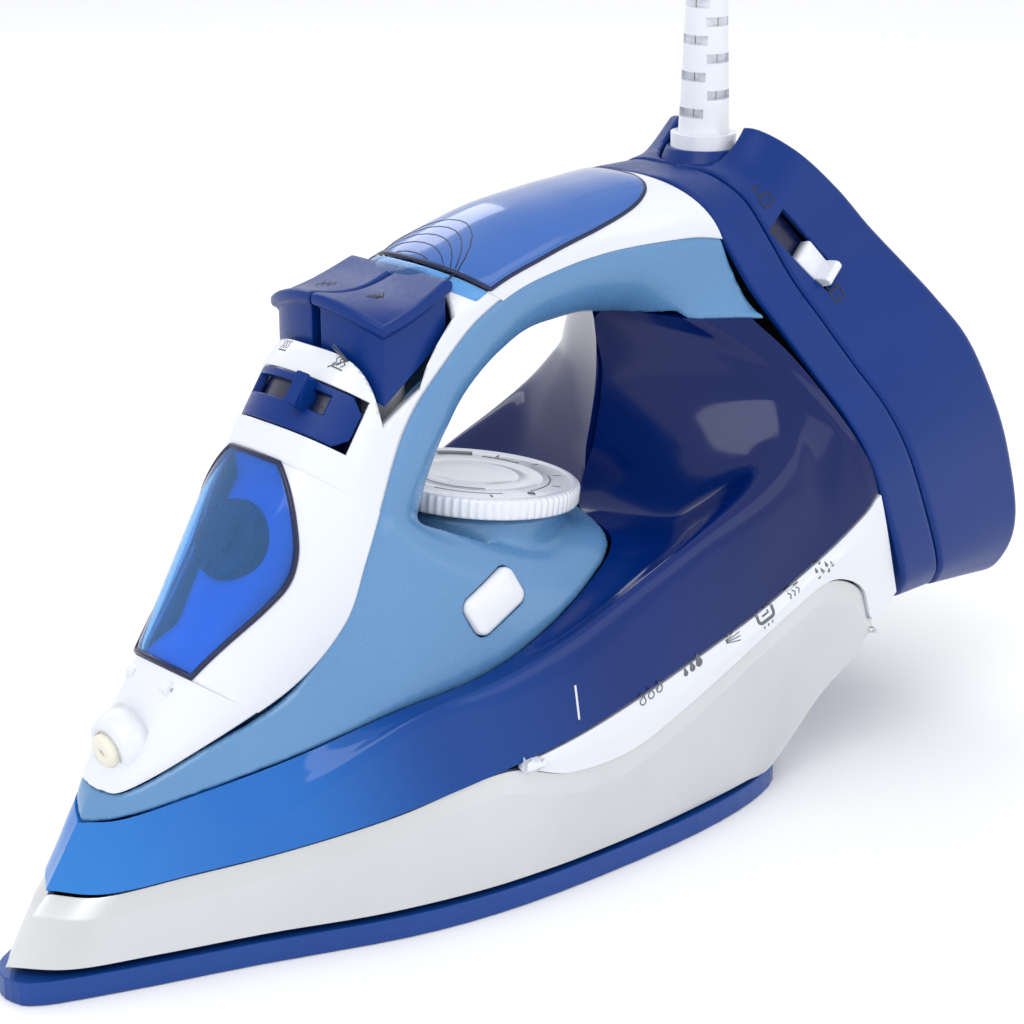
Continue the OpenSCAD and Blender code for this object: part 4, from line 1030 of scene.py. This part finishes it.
# Each section is [distance from the collar's front, inset]
sections = [(0.2, 3), (0.1, 1.2), (0.4, 0.4), (1, 0.05)]
sections += [(x, 0) for x in np.linspace(2, span - 2, 14)]
sections += [(span - 1, 0.05), (span - 0.4, 0.4), (span - 0.1, 1.2), (span - 0.2, 3)]
collar = np.array([pear_ring(COLLAR_X + x, inset) for x, inset in sections])
inner_wall = np.array([pear_ring(COLLAR_X + x, 3) for x in np.linspace(span - 0.2, 0.2, 6)])
dress(mirrored("dock_collar", collar), "iron", NAVY, "navy_plastic", "rear_collar")
dress(mirrored("collar_lining", inner_wall), "iron", NAVY, "navy_plastic")

# The power module's side skin runs from the docking plane, where it is a little larger than the collar,
# to the heel's edge
MODULE_GROW = 1.005
dock_y, dock_z = PEAR[:, 0] * MODULE_GROW, 108 + (PEAR[:, 1] - 108) * MODULE_GROW
dock_row = np.stack([MODULE_X + DOCK_SLOPE * (PEAR_TOP - dock_z), dock_y, dock_z], -1)
blend_row = dock_row + (HEEL - dock_row) * 0.45
blend_row[:3, 2] -= 2.5
shell_us = np.concatenate([[0, 0.01, 0.03], np.linspace(0.07, 1.93, 40), [1.97, 1.99, 2]])
shell_grid = surface([dock_row, blend_row, HEEL], shell_us, np.linspace(0, 14, 169))
shell_grid[:, [0, -1], 1] = 0
shell_out = normals(shell_grid, 1)
ends = np.minimum(shell_us, 2 - shell_us)
shell_grid = shell_grid - shell_out * (0.7 * (1 - smoothstep(ends / 0.05)))[:, None, None]
module_shell = skin("module_shell_skin", shell_grid, shell_out, 2.2, 1)


def guard_rooms():
    """Cutters for the cord guard and its flange, each [name, radius, low, high]."""
    for name, radius, low, high in (("guard_room", 11.1, -20, 40), ("flange_room", 12.4, 0, 30)):
        yield lathe(name, [[0, low], [radius, low], [radius, high], [0, high]],
                    Matrix.Translation(GUARD_BASE))


cut(module_shell, prism("slot_room", [[-13, -4.2], [12.5, -4.2], [12.5, 4.2], [-13, 4.2]], -12, 12, on_slot),
    *guard_rooms())
dress(module_shell, "cord_module", NAVY, "navy_plastic", "module_shell")

# The heel closes the module inside its edge
heel_in = [[x - 0.5, y * 0.945, 108 + (z - 108) * 0.955] for x, y, z in HEEL]
heel_net = [heel_in, [[x + 0.5, y * 0.5, z] for x, y, z in heel_in], [[x + 1, 0, z] for x, y, z in heel_in]]
heel_grid = surface(heel_net, np.linspace(0, 2, 40), np.linspace(1.5, 13, 120))
heel_grid[-1, :, 1] = 0
heel = skin("module_heel_skin", heel_grid, normals(heel_grid, 1), 2.2, 1)
soften(cut(heel, *guard_rooms()), *SHELL_EDGE)
dress(heel, "cord_module", NAVY, "navy_plastic", "module_heel")


# ---------- lock slider ----------

# A dark plate under the lock slider's slot: painted shade where the inside of the module shows through.
slot_floor = prism("lock_slot_shade_sheet", rounded(12.9, 4.4, 1), -4.6, -3.6,
                   on_slot @ Matrix.Translation((-0.2, 0, 0)))
dress(soften(slot_floor, 0.1), "cord_module", DEEP_BLUE_AND_SHADE, "navy_plastic")
slider = lozenge("lock_slider_plate", 6.3, 4, 0.9, -3, 0.45, on_slot @ Matrix.Translation((5.8, 0, 0)))
tab_side = [[7.4, -0.5], [7.6, 2.4], [7.9, 4.2], [8.6, 4.95], [9.8, 5], [10.7, 4.4], [11, 3], [11.2, -0.5]]
sideways = Matrix(((1, 0, 0, 0), (0, 0, -1, 0), (0, 1, 0, 0), (0, 0, 0, 1)))
tab = soften(prism("lock_slider_tab", tab_side, -3.6, 3.6, on_slot @ sideways), 0.6, 35, 3)
dress(slider, "lock_slider", WHITE, "white_plastic", "lock_slider")
dress(tab, "lock_slider", WHITE, "white_plastic")


# ---------- cord guard's pieces, tie and plug ----------

def cord_tie():
    """A strap round the coil's own turns."""
    half_x, low, high, wall, half_y = 12.6, 0.15, 21.4, 1.1, 4
    centre_x = COIL_C[0] - 39
    mid_z, half_z = (low + high) / 2, (high - low) / 2
    loops = [[[centre_x + x, mid_z + z] for x, z in rounded(half_x - inset, half_z - inset, 5 - inset, 8)]
             for inset in (0, wall)]
    n = len(loops[0])
    verts = [[x, COIL_C[1] + y, z] for loop in loops for y in (-half_y, half_y) for x, z in loop]
    faces = []
    for a, b in ((0, 1), (3, 2), (1, 3), (2, 0)):
        faces += [[a * n + k, a * n + (k+1) % n, b * n + (k+1) % n, b * n + k] for k in range(n)]
    return soften(fill_ends(make("cord_tie_strap", verts, faces)), *SHELL_EDGE)


tie = cord_tie()
dress(tie, "cord_module", RUBBER, "black_rubber", "cord_tie")

PLUG_AT = Matrix.Translation((260, 150, 18.6)) @ Matrix.Rotation(math.radians(-90), 4, "Y")
relief = [[3.4, 0], [4.6, 0], [5, 0.4]]
for k in range(5):
    z = 2.2 + 4.2 * k
    r = 5.1 + 0.36 * k
    relief += [[r, z], [r - 0.9, z + 0.5], [r - 0.9, z + 1.5], [r + 0.1, z + 2]]
relief += [[7, 24]]
body = [[9.5, 24.3], [11.4, 25.2], [12.6, 27], [14.6, 32], [16.6, 36.4], [17.4, 38], [18.1, 38.8],
        [18.1, 40.6], [17.6, 41.2], [17.6, 42.4], [18.5, 43.2], [18.5, 52.6], [17.9, 53.6], [16.8, 54],
        [8.5, 54],
        [8, 53.6], [0, 53.6]]
plug = lathe("plug_moulding", relief + body, PLUG_AT, 72)
dress(plug, "cord_module", CORD, "white_cord", "plug_body")
for side in (-1, 1):
    pin = lathe("plug_pin_" + ("left" if side < 0 else "right"),
                [[0, 52], [2.4, 52], [2.4, 71.4], [2.1, 72.4], [1.4, 73], [0, 73]],
                PLUG_AT @ Matrix.Translation((0, 9.5 * side, 0)), 32)
    dress(pin, "cord_module", STEEL, "steel")
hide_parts("plug_pins")
for side in (-1, 1):
    clip = prism("plug_clip_" + ("low" if side < 0 else "high"), rounded(1.9, 3, 0.6), 42.6, 53.2,
                 PLUG_AT @ Matrix.Translation((17.2 * side, 0, 0)))
    dress(soften(clip, 0.3), "cord_module", STEEL, "steel")

dress(mains_cord, "cord_module", CORD, "white_cord", "power_cord", "cord_coil")


# ---------- printed marks ----------

# Steps of a stroke and thickness of the ink in millimetres, and its lift off the surface in metres
STEP = 0.8
INK = 0.1
LIFT = 0.00008


class Print:
    """Flat marks drawn in a frame's x and y millimetres and laid on a piece's surface."""

    def __init__(self, name, target, matrix):
        self.name, self.matrix, self.verts, self.faces = name, matrix, [], []
        self.tree = BVHTree.FromObject(target, bpy.context.evaluated_depsgraph_get())

    def stroke(self, points, width, closed=False):
        """A line of an even width, cut into short steps so that it can follow the surface."""
        dense = []
        pairs = list(zip(points, points[1:] + points[:1])) if closed else list(zip(points, points[1:]))
        for (x0, y0), (x1, y1) in pairs:
            count = max(1, int(math.hypot(x1 - x0, y1 - y0) / STEP))
            dense += [(x0 + (x1 - x0) * k / count, y0 + (y1 - y0) * k / count) for k in range(count)]
        if not closed:
            dense.append(points[-1])
        n, first = len(dense), len(self.verts)
        for i, (x, y) in enumerate(dense):
            p = dense[(i - 1) % n] if closed or i else dense[0]
            q = dense[(i + 1) % n] if closed or i < n - 1 else dense[-1]
            length = math.hypot(q[0] - p[0], q[1] - p[1]) or 1
            ox, oy = -(q[1] - p[1]) / length * width / 2, (q[0] - p[0]) / length * width / 2
            self.verts += [(x + ox, y + oy), (x - ox, y - oy)]
        for i in range(n if closed else n - 1):
            a, b = first + 2 * i, first + 2 * ((i + 1) % n)
            self.faces.append([a, a + 1, b + 1, b])

    def spoke(self, angle, low, high, width, centre=(0, 0)):
        """A line along a radius."""
        x, y = math.cos(angle), math.sin(angle)
        self.stroke([(centre[0] + r * x, centre[1] + r * y) for r in (low, high)], width)

    def sweep(self, radius, low, high, count, width):
        """A line round the frame's middle, from one angle to the other."""
        angles = np.linspace(low, high, count)
        self.stroke([(radius * math.cos(b), radius * math.sin(b)) for b in angles], width)

    def steam(self, xs, path, width):
        """The same wavy line at each x."""
        for x in xs:
            self.stroke([(x + dx, y) for dx, y in path], width)

    def fill(self, points):
        """A filled outline, as a fan round its middle."""
        first = len(self.verts)
        self.verts.append((sum(p[0] for p in points) / len(points), sum(p[1] for p in points) / len(points)))
        self.verts += points
        n = len(points)
        self.faces += [[first, first + 1 + k, first + 1 + (k + 1) % n] for k in range(n)]

    def done(self, body, mat=None, slot="grey_plastic"):
        """Drops every point onto the surface along the frame's z and thickens the marks a little."""
        out = self.matrix.to_3x3() @ Vector((0, 0, 1))
        placed_points = []
        for x, y in self.verts:
            start = self.matrix @ Vector((x, y, 9))
            hit, normal, _, _ = self.tree.ray_cast((start - Vector(ORIGIN)) * MM, -out, 0.03)
            if hit is None:
                hit, normal = (self.matrix @ Vector((x, y, 0)) - Vector(ORIGIN)) * MM, out
            lift = LIFT if normal.dot(out) > 0 else -LIFT
            placed_points.append((hit + normal * lift) / MM + Vector(ORIGIN))
        obj = make(self.name, [list(p) for p in placed_points], self.faces)
        graph = bmesh.new()
        graph.from_mesh(obj.data)
        for face in graph.faces:
            if face.normal.dot(out) < 0:
                face.normal_flip()
        graph.to_mesh(obj.data)
        graph.free()
        return dress(thicken(obj, INK, False), body, mat or GREY, slot)


def drop_shape(cx, cy, size):
    """A water drop with its tip up."""
    out = [(cx, cy + size)]
    for k in range(13):
        a = math.radians(40 - 260 * k / 12)
        out.append((cx + 0.52 * size * math.cos(a), cy - 0.3 * size + 0.52 * size * math.sin(a)))
    return out


def box_shape(cx, cy, hx, hy, r):
    return [(cx + x, cy + y) for x, y in rounded(hx, hy, r, 4)]


# Middle of the row of marks on the white band
BAND_X, BAND_Z = 190, 55.5


def band_frame(x, z, side):
    """A frame on the white band: x to the rear (or front) as seen from outside, y up."""
    along = (side * -0.87, 0, side * -0.30) if side > 0 else (0.87, 0, 0.30)
    return at_frame((x, side * 56, z), along, (0, side, 0.05))


for side, label in ((-1, "left"), (1, "right")):
    marks = Print("band_marks_" + label, rear_band, band_frame(BAND_X, BAND_Z, side))
    far = -side

    def at(x, z):
        """Offset of a place on the band from the middle of the row of marks."""
        run, rise = x - BAND_X, z - BAND_Z
        return (run * 0.945 + rise * 0.326) * far, rise * 0.945 - run * 0.326

    cx, cy = at(164.5, 48.5)
    for k in (-1, 0, 1):
        marks.stroke(drop_shape(cx + 3.1 * k, cy, 1.9), 0.35, True)
    cx, cy = at(179.5, 52)
    for k, size in ((-1, 1.5), (0, 1.9), (1, 2.3)):
        marks.fill(drop_shape(cx + 2.6 * k, cy + (size - 1.9) / 2, size))
    cx, cy = at(193.5, 56)
    for k in range(-2, 3):
        marks.spoke(math.radians(11 * k + (0 if far > 0 else 180)), 1.2, 6.4, 0.25, (cx - 2.6 * far, cy))
    cx, cy = at(206.5, 60.5)
    marks.stroke(box_shape(cx, cy, 2.9, 2.5, 1.2), 0.9, True)
    marks.stroke([(cx - 1.2, cy - 0.8), (cx + 1.2, cy - 0.8), (cx + 0.8, cy + 0.8)], 0.6)
    marks.steam((cx - 1.6, cx, cx + 1.6), ((0, cy - 4.6), (0, cy - 3.7)), 0.4)
    cx, cy = at(217.5, 64)
    marks.stroke([(cx - 2.4, cy + 1.2), (cx + 2.4, cy + 1.2)], 0.5)
    marks.steam((cx - 1.6, cx, cx + 1.6), ((-0.5, cy + 0.4), (0.4, cy - 0.6), (-0.4, cy - 1.5)), 0.35)
    cx, cy = at(228.5, 69)
    for dx, dy in ((-1.9, -1.6), (1.9, -1.8), (0, 1.9)):
        for k in range(3):
            marks.fill(drop_shape(cx + dx + 1.1 * math.cos(2.1 * k), cy + dy + 1.1 * math.sin(2.1 * k), 0.9))
    marks.done("iron")

level = Print("level_line", water_tank, at_frame((141, -53, 52), (1, 0, 0), (0, -0.98, 0.2)))
level.stroke([(0, -4.6), (0, 4.6)], 0.6)
level.done("iron", WHITE, "white_plastic")

# Three broad fields and short lines round the dial's edge, with arcs inside them
dial_marks = Print("dial_marks", dial, on_dial)
for turn in range(12):
    a = math.radians(30 * turn)
    if turn in (2, 3, 4):
        dial_marks.sweep(23.4, a - 0.22, a + 0.22, 8, 3.6)
    elif turn not in (6, 7):
        dial_marks.spoke(a, 22.4, 24.6, 0.5)
for radius, low, high, count, width in ((21, 200, 250, 16, 0.4), (21, 275, 330, 16, 0.4),
                                        (21, 10, 40, 16, 0.4), (16, 120, 240, 24, 0.3)):
    dial_marks.sweep(radius, math.radians(low), math.radians(high), count, width)
dial_marks.done("temperature_dial")

spray_mark = Print("spray_button_mark", bpy.data.objects["spray_button_pad"],
                   at_frame((112.5, -11, 150), (0.35, -0.94, 0), (0, 0, 1)))
for k in range(5):
    spray_mark.spoke(math.radians(115 + 16 * k), 1.4, 4.6, 0.4)
spray_mark.done("spray_button", DARK, "navy_plastic")
steam_mark = Print("steam_button_mark", bpy.data.objects["steam_button_pad"],
                   at_frame((112.5, 11, 150), (0.2, -0.98, 0), (0, 0, 1)))
steam_mark.steam((-1.9, 0, 1.9), ((-0.6, 2.4), (0.5, 0.9), (-0.5, -0.6), (0.6, -2.1)), 0.45)
steam_mark.done("steam_button", DARK, "navy_plastic")


def lock_sign(mark, shut):
    """A padlock, shut or open."""
    mark.stroke(box_shape(0, 0, 2.1, 1.6, 0.5), 0.45, True)
    lift = 0 if shut else 1
    shackle = [(-1.3, 1.6), (-1.3, 2.6 + lift), (-0.7, 3.5 + lift), (0.7, 3.5 + lift), (1.3, 2.6 + lift)]
    mark.stroke(shackle + ([(1.3, 1.6)] if shut else []), 0.45)
    mark.stroke([(0, -0.5), (0, 0.4)], 0.5)


for name, place, shut in (("unlocked_mark", (237.5, -28, 165), False),
                          ("locked_mark", (254.5, -37, 136.5), True)):
    mark = Print(name, module_shell, at_frame(place, (0.9, 0.2, 0.3), (-0.1, -0.95, 0.29)))
    lock_sign(mark, shut)
    mark.done("cord_module", DARK, "navy_plastic")

for name, y, crossed in (("steam_on_mark", 8, False), ("steam_off_mark", -12, True)):
    mark = Print(name, handle_shell, at_frame((93, y, 146), (0, -1, 0), (-0.75, 0.04 * y, 0.66)))
    mark.stroke([(-1.6, -1.4), (1.6, -1.4)], 0.4)
    mark.steam((-1.1, 0, 1.1), ((-0.3, -0.8), (0.3, 0.1), (-0.3, 1), (0.3, 1.7)), 0.3)
    if crossed:
        mark.stroke([(-2, -2), (2, 2.2)], 0.35)
    mark.done("iron")

for k in range(7):
    lines = Print(f"grip_line_{k + 1}", grip, at_frame((140, 0, 162), (0.92, 0, 0.4), (-0.4, 0, 0.92)))
    long, wide = 6.9 + 4.14 * k, 15.12 + 0.168 * k
    lines.stroke([(-22 + long * math.cos(b) ** 0.8, wide * math.sin(b))
                  for b in math.pi * (np.arange(17) / 16 - 0.5)], 0.28)
    lines.done("iron", DEEP_BLUE_AND_SHADE, "grip_blue")


# ---------- CAD nodes that stay ----------

KEPT = {
    "soleplate": PLATE, "heating_base": BASE_IN_PAINTED_SHADE, "heating_element": STEEL, "steam_chamber_cover": STEEL,
    "tail_cover": WHITE, "tank_floor": WELL, "spray_pump": NATURAL, "steam_pump": NATURAL,
    "pump_hoses": SILICONE, "steam_lever": NAVY, "valve_seat": NATURAL, "lid_plug": DEEP_BLUE_AND_SHADE,
    "lid_hinge_pin": STEEL, "lid_hinge_ears": WHITE, "filler_funnel": DEEP_BLUE_AND_SHADE, "spindle_sleeve": NATURAL,
    "thermostat": BRASS, "thermal_fuse": STEEL, "clean_valve": NATURAL, "rear_bulkhead": DARK,
    "contact_socket": DARK, "internal_wires": WIRE, "base_screws": STEEL, "module_front": DARK,
    "contact_pins": BRASS, "heel_feet": RUBBER, "heel_screws": STEEL, "guard_flange": NAVY,
    "cord_guard": WHITE}
# Width of the rounded edges in millimetres, where it isn't EDGE
EDGES = {"soleplate": 0.9, "heel_feet": 0.8, "guard_flange": 0.3, "cord_guard": 0.2, "lid_plug": 0.8,
         "contact_socket": 0.4, "contact_pins": 0.4, "heel_screws": 0.3, "steam_lever": 0.3}
EDGE = 0.12
for name, mat in KEPT.items():
    obj = nodes[name]
    for holder in obj.material_slots:
        holder.material = mat
    joined = obj.modifiers.new("joined", "WELD")
    joined.merge_threshold = 0.005 * MM
    soften(obj, EDGES.get(name, EDGE), 35)


# ---------- floor and light ----------

bpy.ops.mesh.primitive_plane_add(size=30, location=(0.6, 0.8, -0.0002))
floor = bpy.context.active_object
floor.name = "floor"
floor.data.materials.append(FLOOR)

world = bpy.data.worlds.new("studio")
scene.world = world
world.use_nodes = True
world.node_tree.nodes["Background"].inputs["Color"].default_value = (1, 1, 1, 1)
world.node_tree.nodes["Background"].inputs["Strength"].default_value = 1.0


def area_light(name, place, target, size, power):
    """A rectangular lamp that faces its target, in metres and watts."""
    data = bpy.data.lights.new(name, "AREA")
    data.shape = "RECTANGLE"
    data.size, data.size_y = size
    data.energy = power
    obj = bpy.data.objects.new(name, data)
    obj.location = place
    obj.rotation_euler = (Vector(target) - Vector(place)).to_track_quat("-Z", "Y").to_euler()
    scene.collection.objects.link(obj)


area_light("key", (-0.7, -0.5, 1.1), (0, 0, 0.08), (0.9, 0.7), 6)
area_light("fill", (0.5, -1.2, 0.5), (0, 0, 0.08), (0.9, 0.6), 1.5)
area_light("back", (0.3, 1.1, 0.9), (0, 0, 0.1), (1, 0.5), 3)
